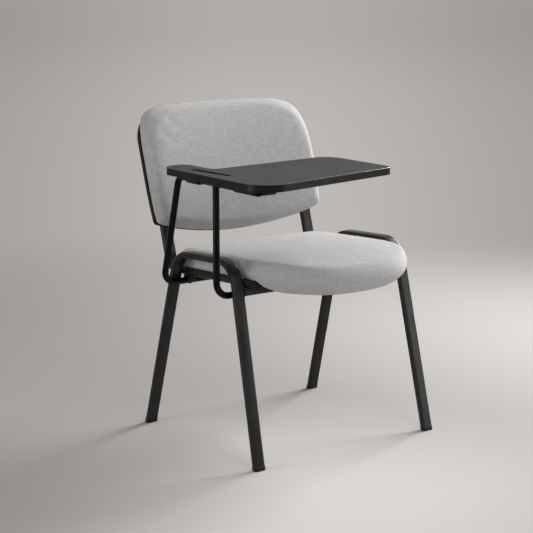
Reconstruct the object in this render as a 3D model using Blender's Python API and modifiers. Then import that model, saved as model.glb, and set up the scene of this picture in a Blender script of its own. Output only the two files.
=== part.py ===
# Stackable training chair with a fold-up writing tablet, modelled in metres.
# The sitter faces -Y, +Z is up and the tablet is on the sitter's right, at -X.
# Inside this script x = 0 is the chair's middle and y = 0 lies midway between the feet.
import math

import bmesh
import bpy
from mathutils import Matrix, Vector

# Flat steel tube of the frame
TUBE_WIDTH = 0.030
TUBE_DEPTH = 0.015
TUBE_CORNER = 0.0055
TUBE_WALL = 0.0015

# Side loops, one bent tube for a front leg, a top rail and a rear leg
LOOP_FOOT_X = 0.260
LOOP_LEAN = math.radians(1.47)
FRONT_FOOT_Y = -0.234
REAR_FOOT_Y = 0.234
FRONT_RAKE = math.radians(13.5)
REAR_RAKE = math.radians(15.1)
LOOP_TOP_Z = 0.4625
LOOP_BEND = 0.062

# Foot caps and other plugs in tube ends
FOOT_HEIGHT = 0.010
CAP_LIP = 0.0008
PLUG_STEM = 0.018
PLUG_HEAD = 0.003

# Seat rails and back uprights, one bent tube on each side
SEAT_TILT = math.radians(3.0)
RAIL_DROP = 0.0487
SEAT_RAIL_FRONT = -0.157
RAIL_SIDE_GAP = 0.0006
RAIL_BEND = 0.036
UPRIGHT_REACH = 0.150

# Cross tubes, one under the seat rails at the front and one between them at the rear
CROSS_HEIGHT = 0.022
CROSS_DEPTH = 0.0125

# Seat
SEAT_SIDE_GAP = 0.0030
SEAT_FRONT_Y = -0.315
SEAT_REAR_Y = 0.176
SEAT_FRONT_CORNER = 0.135
SEAT_REAR_CORNER = 0.038
SEAT_BOW = 0.040
SEAT_DROP = 0.024
SEAT_DROP_START = -0.170
SEAT_LIP = 0.025
LIP_START = 0.55
LIP_FULL = 0.76
LIP_FADE = 0.40
LIP_INSET = 0.040
PAN_THICKNESS = 0.003
SEAT_BOARD = 0.009
SEAT_BOARD_INSET = 0.020
SEAT_BOARD_CORNER = 0.040
SEAT_EDGE = 0.0433
SEAT_CROWN = 0.016
SEAT_FOOT_INSET = 0.006
SEAT_TOP_INSET = 0.020

# Back, built on a plane through both uprights
BACK_Y = 0.2175
BACK_Z = 0.503
RECLINE = math.radians(16.5)
BACK_RADIUS = 1.6
BACK_SWEEP = 0.016
SWEEP_START = 0.130
BACK_LOW = 0.010
BACK_HIGH = 0.302
BACK_OVERHANG = 0.0232
BACK_WIDEST = 0.140
BACK_NARROWING = 0.006
BACK_TOP_BOW = 0.0085
BACK_LOW_BOW = 0.035
BACK_TOP_CORNER = 0.071
BACK_FRONT_CORNER = 0.115
BACK_LOW_CORNER = 0.016
SHELL_DEPTH = 0.0155
SHELL_TOP_DROP = 0.012
SHELL_WALL = 0.0022
SHELL_ROUND = 0.008
BACK_BOARD = 0.004
BACK_BOARD_INSET = 0.024
BACK_CUSHION = 0.038
BACK_CROWN = 0.006
BACK_EDGE_INSET = 0.016

# Tablet arm of round tube
ARM_RADIUS = 0.008
ARM_WALL = 0.0015
ARM_SIDE_GAP = 0.012
ARM_RUN_Z = 0.6583
FRONT_FOOT_DROP = 0.0123
REAR_FOOT_DROP = 0.0052
ARM_REAR_GAP = 0.004
ARM_FRONT_GAP = 0.007
ARM_FOOT_BEND = 0.034
ARM_TOP_BEND = 0.028
ARM_FOOT_PAST = 0.002
CLAMP_LENGTH = 0.024
CLAMP_WALL = 0.003

# Tablet, laid out from the hinge axis and the arm's rear end
TABLET_THICK = 0.0132
TABLET_GAP = 0.0015
TABLET_OVERHANG = 0.037
TABLET_WIDTH = 0.4375
TABLET_ARM_WIDTH = 0.0725
TABLET_REAR = 0.060
TABLET_ARM_LENGTH = 0.113
TABLET_LENGTH = 0.410
TABLET_FRONT_SLANT = math.radians(10.3)
TABLET_REAR_SLANT = math.radians(4.6)
TABLET_TAIL_OUTER = 0.038
TABLET_FRONT_OUTER = 0.060
TABLET_FRONT_INNER = 0.030
TABLET_REAR_INNER = 0.045
TABLET_NECK = 0.018
TABLET_TAIL_INNER = 0.0236
TABLET_ROUND = 0.0014
TABLET_SKIRT = 0.0043
TABLET_SKIRT_WALL = 0.0048
GROOVE_WIDTH = 0.011
GROOVE_DEPTH = 0.004
GROOVE_LENGTH = 0.138
GROOVE_SLANT = math.radians(4.6)
GROOVE_BACK = 0.088
GROOVE_IN = 0.032

# Tablet hinge and stop
HINGE_CLEAR = 0.0004
SADDLE_WALL = 0.003
SADDLE_FLANGE = 0.016
SADDLE_LENGTH = 0.050
SADDLE_REAR_SPACE = 0.0195
BLOCK_WALL = 0.0018
BLOCK_LENGTH = 0.088
BLOCK_REACH = 0.039
BLOCK_DEPTH = 0.018
BLOCK_PAST = 0.007
BLOCK_CORNER = 0.006
RUN_END_INSET = 0.074
STOP_LENGTH = 0.095
STOP_WIDTH = 0.026
STOP_THICK = 0.004
STOP_SPACE = 0.010
BUFFER_RADIUS = 0.008

# Fits and mesh fineness
GAP = 0.0003
BEND_STEPS = 7
ROUND_SIDES = 16
PANEL_STEPS = 16
CAGE_STEPS = 8
CORNER_STEPS = 5
SWEEP_STEPS = 4
DOME_STEPS = 3
FRONT_ROW = 0.93
MIDDLE_ROW = 0.2
SHOULDER_ROW = 0.6
REAR_ROW = 0.9

# The model's origin is the middle of its footprint, off the chair's middle
ORIGIN = Vector((0.0281, -0.0010, 0.0))

RIGHT = -1
LEFT = 1
SIDE_NAMES = {RIGHT: "right", LEFT: "left"}


def clear_scene():
    for old in list(bpy.data.objects):
        bpy.data.objects.remove(old, do_unlink=True)
    for old in list(bpy.data.collections):
        bpy.data.collections.remove(old)


def new_collection(name):
    made = bpy.data.collections.new(name)
    bpy.context.scene.collection.children.link(made)
    return made


def new_material(name, color, roughness, metallic=0.0):
    made = bpy.data.materials.new(name)
    made.use_nodes = True
    shader = made.node_tree.nodes["Principled BSDF"]
    shader.inputs["Base Color"].default_value = (*color, 1.0)
    shader.inputs["Roughness"].default_value = roughness
    shader.inputs["Metallic"].default_value = metallic
    made.diffuse_color = (*color, 1.0)
    return made


clear_scene()
PARTS = new_collection("student_desk_chair")
HELPERS = new_collection("cutters_and_guides")
ROOT = bpy.data.objects.new("chair_root", None)
PARTS.objects.link(ROOT)
ROOT.location = ORIGIN

FRAME_BLACK = new_material("black_powder_coat", (0.020, 0.020, 0.021), 0.45, 0.2)
CAP_BLACK = new_material("black_plastic", (0.018, 0.018, 0.019), 0.50)
SEAT_CLOTH = new_material("grey_cloth", (0.36, 0.36, 0.36), 0.90)
PLYWOOD = new_material("plywood", (0.55, 0.40, 0.24), 0.65)
TABLET_GREY = new_material("dark_tablet_plastic", (0.045, 0.045, 0.047), 0.42)
RUBBER = new_material("black_rubber", (0.015, 0.015, 0.015), 0.80)


def place(thing, material, parent, matrix=None):
    # Every piece hangs from the chair's root or from the hinge empty.
    thing.data.materials.clear()
    thing.data.materials.append(material)
    thing.parent = parent
    if matrix is not None:
        thing.matrix_local = matrix
    return thing


def mesh_object(name, bm, collection=None):
    bmesh.ops.recalc_face_normals(bm, faces=bm.faces)
    mesh = bpy.data.meshes.new(name)
    bm.to_mesh(mesh)
    bm.free()
    made = bpy.data.objects.new(name, mesh)
    (collection or PARTS).objects.link(made)
    return made


def as_cutter(thing):
    thing.hide_render = True
    thing.display_type = "WIRE"
    return thing


def arc_corner(before, corner, after, radius, steps):
    # Points of the arc that rounds one corner, or the corner itself.
    inward = (before - corner).normalized()
    outward = (after - corner).normalized()
    half_angle = inward.angle(outward) / 2.0
    if radius <= 0.0 or half_angle > math.radians(89.9):
        return [corner]
    middle = (inward + outward).normalized()
    centre = corner + middle * (radius / math.sin(half_angle))
    reach = radius / math.tan(half_angle)
    start = corner + inward * reach - centre
    finish = corner + outward * reach - centre
    sweep = start.angle(finish)
    axis = start.cross(finish).normalized()
    turns = [Matrix.Rotation(sweep * i / steps, 3, axis) for i in range(steps + 1)]
    return [centre + turn @ start for turn in turns]


def rounded_path(corners, radius, steps):
    points = [corners[0]]
    for i in range(1, len(corners) - 1):
        size = radius[i] if isinstance(radius, list) else radius
        points += arc_corner(corners[i - 1], corners[i], corners[i + 1], size, steps)
    points.append(corners[-1])
    return points


def rounded_outline(corners, radii, steps):
    count = len(corners)
    points = []
    for i in range(count):
        near = (corners[i - 1], corners[i], corners[(i + 1) % count])
        points += arc_corner(*near, radii[i], steps)
    return points


def box_outline(half_width, half_depth, radius, steps):
    corners = [
        Vector((-half_width, -half_depth, 0.0)),
        Vector((half_width, -half_depth, 0.0)),
        Vector((half_width, half_depth, 0.0)),
        Vector((-half_width, half_depth, 0.0)),
    ]
    return rounded_outline(corners, [radius] * 4, steps)


def prism(points, low, high):
    # A flat outline in XY, raised from low to high along Z.
    bm = bmesh.new()
    base = bm.faces.new([bm.verts.new((p.x, p.y, low)) for p in points])
    grown = bmesh.ops.extrude_face_region(bm, geom=[base])["geom"]
    top = [v for v in grown if isinstance(v, bmesh.types.BMVert)]
    bmesh.ops.translate(bm, verts=top, vec=(0.0, 0.0, high - low))
    bmesh.ops.recalc_face_normals(bm, faces=bm.faces)
    return bm


def slice_across(bm, axis, stations):
    normal = Vector((0.0, 0.0, 0.0))
    normal[axis] = 1.0
    for station in stations:
        everything = bm.verts[:] + bm.edges[:] + bm.faces[:]
        bmesh.ops.bisect_plane(
            bm, geom=everything, dist=1e-6, plane_co=normal * station, plane_no=normal
        )


def spread(low, high, count):
    return [low + (high - low) * i / count for i in range(1, count)]


def curve_object(name, points, flat):
    curve = bpy.data.curves.new(name, "CURVE")
    curve.dimensions = "2D" if flat else "3D"
    spline = curve.splines.new("POLY")
    spline.points.add(len(points) - 1)
    for slot, point in zip(spline.points, points):
        slot.co = (point.x, point.y, point.z, 1.0)
    made = bpy.data.objects.new(name, curve)
    PARTS.objects.link(made)
    return made


def to_mesh(curve_thing):
    # A swept curve becomes a welded mesh, ready for cuts.
    name = curve_thing.name
    bpy.context.view_layer.update()
    graph = bpy.context.evaluated_depsgraph_get()
    mesh = bpy.data.meshes.new_from_object(curve_thing.evaluated_get(graph))
    bm = bmesh.new()
    bm.from_mesh(mesh)
    bmesh.ops.remove_doubles(bm, verts=bm.verts, dist=1e-6)
    bpy.data.meshes.remove(mesh)
    old_curve = curve_thing.data
    bpy.data.objects.remove(curve_thing, do_unlink=True)
    bpy.data.curves.remove(old_curve)
    return mesh_object(name, bm)


def add_wall(thing, wall):
    shell = thing.modifiers.new("wall", "SOLIDIFY")
    shell.thickness = wall
    shell.offset = -1.0
    shell.use_even_offset = True


def section_guide(name, half_width, half_depth, corner):
    points = box_outline(half_width, half_depth, corner, 2)
    guide = curve_object(name, points, True)
    guide.data.splines[0].use_cyclic_u = True
    guide.data.fill_mode = "NONE"
    PARTS.objects.unlink(guide)
    HELPERS.objects.link(guide)
    guide.parent = ROOT
    return as_cutter(guide)


FRAME_SECTION = section_guide("frame_section", TUBE_DEPTH / 2, TUBE_WIDTH / 2, TUBE_CORNER)
CROSS_SECTION = section_guide("cross_section", CROSS_HEIGHT / 2, CROSS_DEPTH / 2, TUBE_CORNER)


def flat_tube(name, points, guide):
    # The path lies in local XY and the section's second size stands along local Z.
    tube = curve_object(name, points, True)
    tube.data.bevel_mode = "OBJECT"
    tube.data.bevel_object = guide
    tube.data.fill_mode = "NONE"
    tube = to_mesh(tube)
    add_wall(tube, TUBE_WALL)
    return tube


def round_tube(name, points):
    tube = curve_object(name, points, False)
    tube.data.bevel_depth = ARM_RADIUS
    tube.data.bevel_resolution = (ROUND_SIDES - 4) // 2
    tube = to_mesh(tube)
    add_wall(tube, ARM_WALL)
    return tube


def cut(thing, cutter, name):
    step = thing.modifiers.new(name, "BOOLEAN")
    step.operation = "DIFFERENCE"
    step.solver = "EXACT"
    step.object = cutter


def soften(thing, width, segments, degrees=40.0):
    step = thing.modifiers.new("rounded_edges", "BEVEL")
    step.width = width
    step.segments = segments
    step.limit_method = "ANGLE"
    step.angle_limit = math.radians(degrees)


# Local X runs along world Y, local Y along world Z and local Z along world X.
SIDE_PLANE = Matrix(((0, 0, 1, 0), (1, 0, 0, 0), (0, 1, 0, 0), (0, 0, 0, 1)))


def loop_matrix(side):
    lean = Matrix.Rotation(-side * LOOP_LEAN, 4, "Y")
    return Matrix.Translation((side * LOOP_FOOT_X, 0.0, 0.0)) @ lean @ SIDE_PLANE


def leg_y(front, height):
    # Middle of a leg at a height above the floor.
    along = height / math.cos(LOOP_LEAN)
    if front:
        return FRONT_FOOT_Y + math.tan(FRONT_RAKE) * along
    return REAR_FOOT_Y - math.tan(REAR_RAKE) * along


def loop_inner_x(height):
    middle = LOOP_FOOT_X - height * math.tan(LOOP_LEAN)
    return middle - TUBE_WIDTH / 2 / math.cos(LOOP_LEAN)


SEAT_RAIL_Z = LOOP_TOP_Z - RAIL_DROP


def seat_rail_z(y):
    return SEAT_RAIL_Z - math.tan(SEAT_TILT) * y


UPRIGHT_X = loop_inner_x(SEAT_RAIL_Z + TUBE_DEPTH / 2) - RAIL_SIDE_GAP - TUBE_WIDTH / 2


def loop_corners():
    tilt = math.tan(SEAT_TILT)
    front = math.tan(FRONT_RAKE)
    rear = math.tan(REAR_RAKE)
    front_high = (LOOP_TOP_Z - tilt * FRONT_FOOT_Y) / (1.0 + tilt * front)
    rear_high = (LOOP_TOP_Z - tilt * REAR_FOOT_Y) / (1.0 - tilt * rear)
    return [
        Vector((FRONT_FOOT_Y + front * FOOT_HEIGHT, FOOT_HEIGHT, 0.0)),
        Vector((FRONT_FOOT_Y + front * front_high, front_high, 0.0)),
        Vector((REAR_FOOT_Y - rear * rear_high, rear_high, 0.0)),
        Vector((REAR_FOOT_Y - rear * FOOT_HEIGHT, FOOT_HEIGHT, 0.0)),
    ]


def make_side_loops():
    path = rounded_path(loop_corners(), LOOP_BEND, BEND_STEPS)
    for side, word in SIDE_NAMES.items():
        loop = flat_tube(f"{word}_side_loop", path, FRAME_SECTION)
        place(loop, FRAME_BLACK, ROOT, loop_matrix(side))


def tube_plug(half_width, half_depth, head, stem, wall):
    # A head as wide as the tube with a stem that slides into its bore, along local Z.
    outer = box_outline(half_width, half_depth, TUBE_CORNER, 2)
    bm = prism(outer, -head, -GAP)
    top = max(bm.faces, key=lambda face: face.calc_center_median().z)
    inset = wall + GAP
    bmesh.ops.inset_region(bm, faces=[top], thickness=inset, use_even_offset=True)
    grown = bmesh.ops.extrude_face_region(bm, geom=[top])["geom"]
    ring = [v for v in grown if isinstance(v, bmesh.types.BMVert)]
    bmesh.ops.delete(bm, geom=[top], context="FACES_ONLY")
    bmesh.ops.translate(bm, verts=ring, vec=(0.0, 0.0, stem + GAP))
    return bm


def make_feet():
    corners = loop_corners()
    ends = {"front": (corners[0], FRONT_RAKE), "rear": (corners[3], -REAR_RAKE)}
    for side, word in SIDE_NAMES.items():
        for end, (point, rake) in ends.items():
            lift = Matrix.Rotation(-rake, 4, "X")
            spot = loop_matrix(side) @ point
            lean = Matrix.Rotation(-side * LOOP_LEAN, 4, "Y")
            matrix = Matrix.Translation(spot) @ lean @ lift
            bm = tube_plug(
                TUBE_WIDTH / 2 + CAP_LIP,
                TUBE_DEPTH / 2 + CAP_LIP,
                FOOT_HEIGHT + TUBE_WIDTH,
                PLUG_STEM,
                TUBE_WALL + CAP_LIP,
            )
            floor = matrix.inverted()
            cutaway = bmesh.ops.bisect_plane(
                bm,
                geom=bm.verts[:] + bm.edges[:] + bm.faces[:],
                dist=1e-7,
                plane_co=floor @ Vector((0.0, 0.0, 0.0)),
                plane_no=floor.to_3x3() @ Vector((0.0, 0.0, -1.0)),
                clear_outer=True,
            )["geom_cut"]
            rim = [e for e in cutaway if isinstance(e, bmesh.types.BMEdge)]
            bmesh.ops.contextual_create(bm, geom=rim)
            cap = mesh_object(f"{end}_{word}_foot_cap", bm)
            place(cap, CAP_BLACK, ROOT, matrix)


def rail_corners():
    tilt = math.tan(SEAT_TILT)
    lean = math.tan(RECLINE)
    low = (SEAT_RAIL_Z - tilt * (BACK_Y - lean * BACK_Z)) / (1.0 + tilt * lean)
    return [
        Vector((SEAT_RAIL_FRONT, seat_rail_z(SEAT_RAIL_FRONT), 0.0)),
        Vector((BACK_Y + lean * (low - BACK_Z), low, 0.0)),
        Vector((
            BACK_Y + math.sin(RECLINE) * UPRIGHT_REACH,
            BACK_Z + math.cos(RECLINE) * UPRIGHT_REACH,
            0.0,
        )),
    ]


def make_uprights():
    corners = rail_corners()
    path = rounded_path(corners, RAIL_BEND, BEND_STEPS)
    for side, word in SIDE_NAMES.items():
        rail = flat_tube(f"{word}_seat_rail_and_upright", path, FRAME_SECTION)
        beside = Matrix.Translation((side * UPRIGHT_X, 0.0, 0.0))
        place(rail, FRAME_BLACK, ROOT, beside @ SIDE_PLANE)
        plug = mesh_object(
            f"{word}_rail_plug",
            tube_plug(TUBE_WIDTH / 2, TUBE_DEPTH / 2, PLUG_HEAD, PLUG_STEM, TUBE_WALL),
        )
        turn = Matrix.Rotation(-math.pi / 2 - SEAT_TILT, 4, "X")
        spot = Matrix.Translation((side * UPRIGHT_X, corners[0].x, corners[0].y))
        place(plug, CAP_BLACK, ROOT, spot @ turn)


def front_cross_place():
    # The tube hangs under the seat rails, in line with the middle of the front legs.
    drop = (TUBE_DEPTH + CROSS_HEIGHT) / 2 + GAP
    tilt = math.tan(SEAT_TILT)
    level = SEAT_RAIL_Z - drop / math.cos(SEAT_TILT)
    slope = math.tan(FRONT_RAKE) / math.cos(LOOP_LEAN)
    height = (level - tilt * FRONT_FOOT_Y) / (1.0 + tilt * slope)
    return leg_y(True, height), height


def make_cross_tubes():
    stand = Matrix.Rotation(math.pi / 2 - SEAT_TILT, 4, "X")
    y, z = front_cross_place()
    reach = loop_inner_x(z + CROSS_HEIGHT / 2) - GAP
    ends = [Vector((-reach, 0.0, 0.0)), Vector((reach, 0.0, 0.0))]
    tube = flat_tube("front_cross_tube", ends, CROSS_SECTION)
    place(tube, FRAME_BLACK, ROOT, Matrix.Translation((0.0, y, z)) @ stand)
    y = leg_y(False, SEAT_RAIL_Z)
    reach = UPRIGHT_X - TUBE_WIDTH / 2 - GAP
    ends = [Vector((-reach, 0.0, 0.0)), Vector((reach, 0.0, 0.0))]
    tube = flat_tube("rear_cross_tube", ends, FRAME_SECTION)
    place(tube, FRAME_BLACK, ROOT, Matrix.Translation((0.0, y, seat_rail_z(y))) @ stand)


SEAT_HALF = loop_inner_x(LOOP_TOP_Z) - SEAT_SIDE_GAP
SEAT_PLACE = Matrix.Translation((0.0, 0.0, SEAT_RAIL_Z)) @ Matrix.Rotation(-SEAT_TILT, 4, "X")
PAN_LOW = TUBE_DEPTH / 2 + GAP
BOARD_LOW = PAN_LOW + PAN_THICKNESS + GAP


def seat_drop(y):
    # The front of the seat rolls down past the rails.
    past = max(0.0, SEAT_DROP_START - y) / (SEAT_DROP_START - SEAT_FRONT_Y)
    return SEAT_DROP * past * past


def seat_panel(grow, low, high):
    # A flat panel inside the cushion, from the ends of the rails to the rear edge.
    half = SEAT_HALF - SEAT_BOARD_INSET + grow
    front = SEAT_RAIL_FRONT - grow
    rear = SEAT_REAR_Y - SEAT_BOARD_INSET + grow
    outline = box_outline(half, (rear - front) / 2, SEAT_BOARD_CORNER + grow, 4)
    for p in outline:
        p.y += (front + rear) / 2
    return prism(outline, low, high)


def make_seat_panels():
    pan = mesh_object("seat_pan", seat_panel(0.0, PAN_LOW, PAN_LOW + PAN_THICKNESS))
    place(pan, CAP_BLACK, ROOT, SEAT_PLACE)
    board = mesh_object("seat_board", seat_panel(0.0, BOARD_LOW, BOARD_LOW + SEAT_BOARD))
    place(board, PLYWOOD, ROOT, SEAT_PLACE)


# Stations across a cushion's cage, closer together towards the edges
EDGE_ROWS = [math.sin(turn) for turn in spread(-math.pi / 2, math.pi / 2, CAGE_STEPS)]
# Stations along the seat, with one where its lip starts and one where it is full
SEAT_ROWS = [-FRONT_ROW, -LIP_FULL, -LIP_START, -MIDDLE_ROW, MIDDLE_ROW, SHOULDER_ROW, REAR_ROW]


def cage(rows):
    # A box of cells, two cells thick.
    bm = bmesh.new()
    bmesh.ops.create_cube(bm, size=2.0)
    slice_across(bm, 0, EDGE_ROWS)
    slice_across(bm, 1, rows)
    slice_across(bm, 2, [0.0])
    return bm


def round_plan(across, along, half_across, half_along, radius):
    # Pulls a point of a square-cornered plan onto one with round corners.
    side_a = math.copysign(1.0, across)
    side_b = math.copysign(1.0, along)
    a = abs(across) * half_across - (half_across - radius)
    b = abs(along) * half_along - (half_along - radius)
    if a <= 0.0 or b <= 0.0:
        return across * half_across, along * half_along
    new_a = a * math.sqrt(1.0 - b * b / (2.0 * radius * radius))
    new_b = b * math.sqrt(1.0 - a * a / (2.0 * radius * radius))
    return (
        side_a * (half_across - radius + new_a),
        side_b * (half_along - radius + new_b),
    )


def make_seat_cushion():
    pocket = seat_panel(GAP, PAN_LOW - SEAT_LIP, BOARD_LOW + SEAT_BOARD + GAP)
    pocket = as_cutter(mesh_object("seat_pocket", pocket, HELPERS))
    place(pocket, PLYWOOD, ROOT, SEAT_PLACE)
    # Smoothing draws the widest row of the cage in by this much.
    overshoot = (SEAT_FOOT_INSET + SEAT_TOP_INSET) / 8
    half = SEAT_HALF + overshoot
    front = SEAT_FRONT_Y + SEAT_BOW - overshoot
    rear = SEAT_REAR_Y + overshoot
    length = (rear - front) / 2
    middle = (rear + front) / 2
    bm = cage(SEAT_ROWS)
    for v in bm.verts:
        s, t, u = v.co
        corner = SEAT_FRONT_CORNER if t < 0.0 else SEAT_REAR_CORNER
        x, y = round_plan(s, t, half, length, corner)
        ramp = min(1.0, max(0.0, (-t - LIP_START) / (LIP_FULL - LIP_START)))
        inset = SEAT_TOP_INSET if u > 0.5 else 0.0
        if u < -0.5:
            inset = SEAT_FOOT_INSET + (LIP_INSET - SEAT_FOOT_INSET) * ramp
        x *= 1.0 - inset / half
        y *= 1.0 - inset / length
        y += middle
        forward = max(0.0, -t)
        y -= SEAT_BOW * forward * (1.0 - s * s)
        crown = SEAT_CROWN * (1.0 - s * s) * (1.0 - t * t)
        lift = (u + 1.0) / 2
        z = PAN_LOW + lift * SEAT_EDGE
        z += crown if u > 0.5 else 0.0
        lip = (1.0 - lift) * SEAT_LIP * ramp * (1.0 - LIP_FADE * s * s)
        v.co = (x, y, z - seat_drop(y) - lip)
    cushion = mesh_object("seat_cushion", bm)
    smooth = cushion.modifiers.new("soft_form", "SUBSURF")
    smooth.levels = 1
    smooth.render_levels = 1
    cut(cushion, pocket, "board_pocket")
    # The lip is shaved where it would touch the front ends of the rails.
    high = TUBE_DEPTH / 2 + GAP / 2
    ahead = SEAT_RAIL_FRONT / math.cos(SEAT_TILT) - PLUG_HEAD - GAP
    for side, word in SIDE_NAMES.items():
        room = box_outline(TUBE_WIDTH / 2 + GAP, LOOP_BEND, 0.0, 1)
        room = mesh_object(f"{word}_rail_room", prism(room, -high, high), HELPERS)
        beside = Matrix.Translation((side * UPRIGHT_X, ahead + LOOP_BEND, 0.0))
        place(as_cutter(room), CAP_BLACK, ROOT, SEAT_PLACE @ beside)
        cut(cushion, room, f"{word}_rail_room")
    place(cushion, SEAT_CLOTH, ROOT, SEAT_PLACE)


BACK_HALF = UPRIGHT_X + TUBE_WIDTH / 2 + BACK_OVERHANG
BACK_PLACE = Matrix.Translation((0.0, BACK_Y, BACK_Z)) @ Matrix.Rotation(-RECLINE, 4, "X")
# Flat outlines are drawn in XY and stood up, so that local Y is the back's height.
BACK_STAND = BACK_PLACE @ Matrix.Rotation(math.pi / 2, 4, "X")
CHANNEL = TUBE_DEPTH / 2 + UPRIGHT_X / BACK_RADIUS * TUBE_WIDTH / 2 + GAP * 2
SHELL_BACK = -CHANNEL - SHELL_WALL
RIM_FRONT = SHELL_BACK + SHELL_DEPTH
BOARD_FRONT = CHANNEL + BACK_BOARD


def back_outline(inset, high, steps):
    half = BACK_HALF - inset
    low = BACK_LOW + inset
    corners = [
        Vector((-half, low, 0.0)),
        Vector((half, low, 0.0)),
        Vector((half, high - inset, 0.0)),
        Vector((-half, high - inset, 0.0)),
    ]
    tight = max(BACK_LOW_CORNER - inset, SHELL_WALL)
    large = BACK_TOP_CORNER - inset
    return rounded_outline(corners, [tight, tight, large, large], steps)


def bend_back(bm):
    # Narrows the back at both ends, bows its edges, curves it round the sitter
    # and leans its upper part further back.
    for v in bm.verts:
        x, height, front = v.co
        rise = (height - BACK_LOW) / (BACK_HIGH - BACK_LOW)
        away = (height - BACK_WIDEST) / (BACK_WIDEST - BACK_LOW)
        x *= 1.0 - BACK_NARROWING / BACK_HALF * away * away
        bow = BACK_TOP_BOW * rise - BACK_LOW_BOW * (1.0 - rise)
        height += bow * (1.0 - (x / BACK_HALF) ** 2)
        front -= (UPRIGHT_X ** 2 - x ** 2) / (2.0 * BACK_RADIUS)
        swept = max(0.0, (height - SWEEP_START) / (BACK_HIGH - SWEEP_START))
        front -= BACK_SWEEP * swept * swept
        v.co = (x, height, front)


def back_panel(inset, high, rear, front, rounding):
    bm = prism(back_outline(inset, high, CORNER_STEPS), rear, front)
    if rounding > 0.0:
        edges = [e for e in bm.edges if all(abs(v.co.z - rear) < 1e-6 for v in e.verts)]
        bmesh.ops.bevel(
            bm, geom=edges, offset=rounding, segments=3, profile=0.5, affect="EDGES"
        )
    slice_across(bm, 0, spread(-BACK_HALF, BACK_HALF, PANEL_STEPS))
    slice_across(bm, 1, spread(SWEEP_START, BACK_HIGH, SWEEP_STEPS) + [SWEEP_START])
    bend_back(bm)
    return bm


def upright_cutter(name, side, play, top):
    slot = box_outline(TUBE_WIDTH / 2 + play, TUBE_DEPTH / 2 + play, 0.0, 1)
    mouth = prism(slot, -BACK_LOW_BOW, top)
    mouth = as_cutter(mesh_object(name, mouth, HELPERS))
    beside = Matrix.Translation((side * UPRIGHT_X, 0.0, 0.0))
    return place(mouth, CAP_BLACK, ROOT, BACK_PLACE @ beside)


def make_back_shell():
    high = BACK_HIGH - SHELL_TOP_DROP
    shell = mesh_object("back_shell", back_panel(0.0, high, SHELL_BACK, RIM_FRONT, SHELL_ROUND))
    place(shell, CAP_BLACK, ROOT, BACK_STAND)
    past_rim = RIM_FRONT + SHELL_WALL
    hollow = back_panel(SHELL_WALL, high, -CHANNEL, past_rim, SHELL_ROUND - SHELL_WALL)
    hollow = as_cutter(mesh_object("shell_hollow", hollow, HELPERS))
    place(hollow, CAP_BLACK, ROOT, BACK_STAND)
    cut(shell, hollow, "hollow")
    for side, word in SIDE_NAMES.items():
        mouth = upright_cutter(f"{word}_upright_mouth", side, GAP, BACK_LOW + SHELL_ROUND)
        cut(shell, mouth, f"{word}_mouth")


def make_back_board():
    high = BACK_HIGH - SHELL_TOP_DROP
    board = back_panel(BACK_BOARD_INSET, high, CHANNEL, BOARD_FRONT, 0.0)
    place(mesh_object("back_board", board), PLYWOOD, ROOT, BACK_STAND)


def make_back_cushion():
    # The cushion wraps round the board's edges and meets the rim of the shell.
    overshoot = BACK_EDGE_INSET / 8
    low = BACK_LOW - overshoot
    high = BACK_HIGH + overshoot
    length = (high - low) / 2
    half = BACK_HALF + overshoot
    rear = RIM_FRONT + GAP * 2
    bm = cage(EDGE_ROWS)
    for v in bm.verts:
        s, t, u = v.co
        forward = max(u, 0.0)
        corner = BACK_LOW_CORNER
        if t > 0.0:
            corner = BACK_TOP_CORNER + forward * (BACK_FRONT_CORNER - BACK_TOP_CORNER)
        x, y = round_plan(s, t, half, length, corner)
        inset = BACK_EDGE_INSET if u > 0.5 else 0.0
        x *= 1.0 - inset / half
        y *= 1.0 - inset / length
        y += (low + high) / 2
        crown = BACK_CROWN * (1.0 - s * s) * (1.0 - t * t)
        z = rear + (u + 1.0) / 2 * BACK_CUSHION
        z += crown if u > 0.5 else 0.0
        v.co = (x, y, z)
    bend_back(bm)
    cushion = mesh_object("back_cushion", bm)
    smooth = cushion.modifiers.new("soft_form", "SUBSURF")
    smooth.levels = 1
    smooth.render_levels = 1
    shell_high = BACK_HIGH - SHELL_TOP_DROP
    pocket = back_panel(
        BACK_BOARD_INSET - GAP, shell_high, RIM_FRONT - SHELL_WALL, BOARD_FRONT + GAP, 0.0
    )
    pocket = as_cutter(mesh_object("back_pocket", pocket, HELPERS))
    place(pocket, PLYWOOD, ROOT, BACK_STAND)
    cut(cushion, pocket, "board_pocket")
    for side, word in SIDE_NAMES.items():
        channel = upright_cutter(f"{word}_upright_channel", side, GAP * 2, UPRIGHT_REACH + GAP * 2)
        cut(cushion, channel, f"{word}_channel")
    place(cushion, SEAT_CLOTH, ROOT, BACK_STAND)


ARM_X = -(LOOP_FOOT_X + TUBE_WIDTH / 2 + ARM_SIDE_GAP + ARM_RADIUS)


def arm_foot_place(front, drop):
    # A foot passes through the right loop, close to a leg and under the seat rails.
    under = TUBE_DEPTH / 2 / math.cos(SEAT_TILT) + drop + ARM_RADIUS
    height = seat_rail_z(leg_y(front, SEAT_RAIL_Z)) - under
    if front:
        beside = TUBE_DEPTH / 2 / math.cos(FRONT_RAKE) + ARM_FRONT_GAP + ARM_RADIUS
        return leg_y(True, height) + beside, height
    beside = TUBE_DEPTH / 2 / math.cos(REAR_RAKE) + ARM_REAR_GAP + ARM_RADIUS
    return leg_y(False, height) - beside, height


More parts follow.
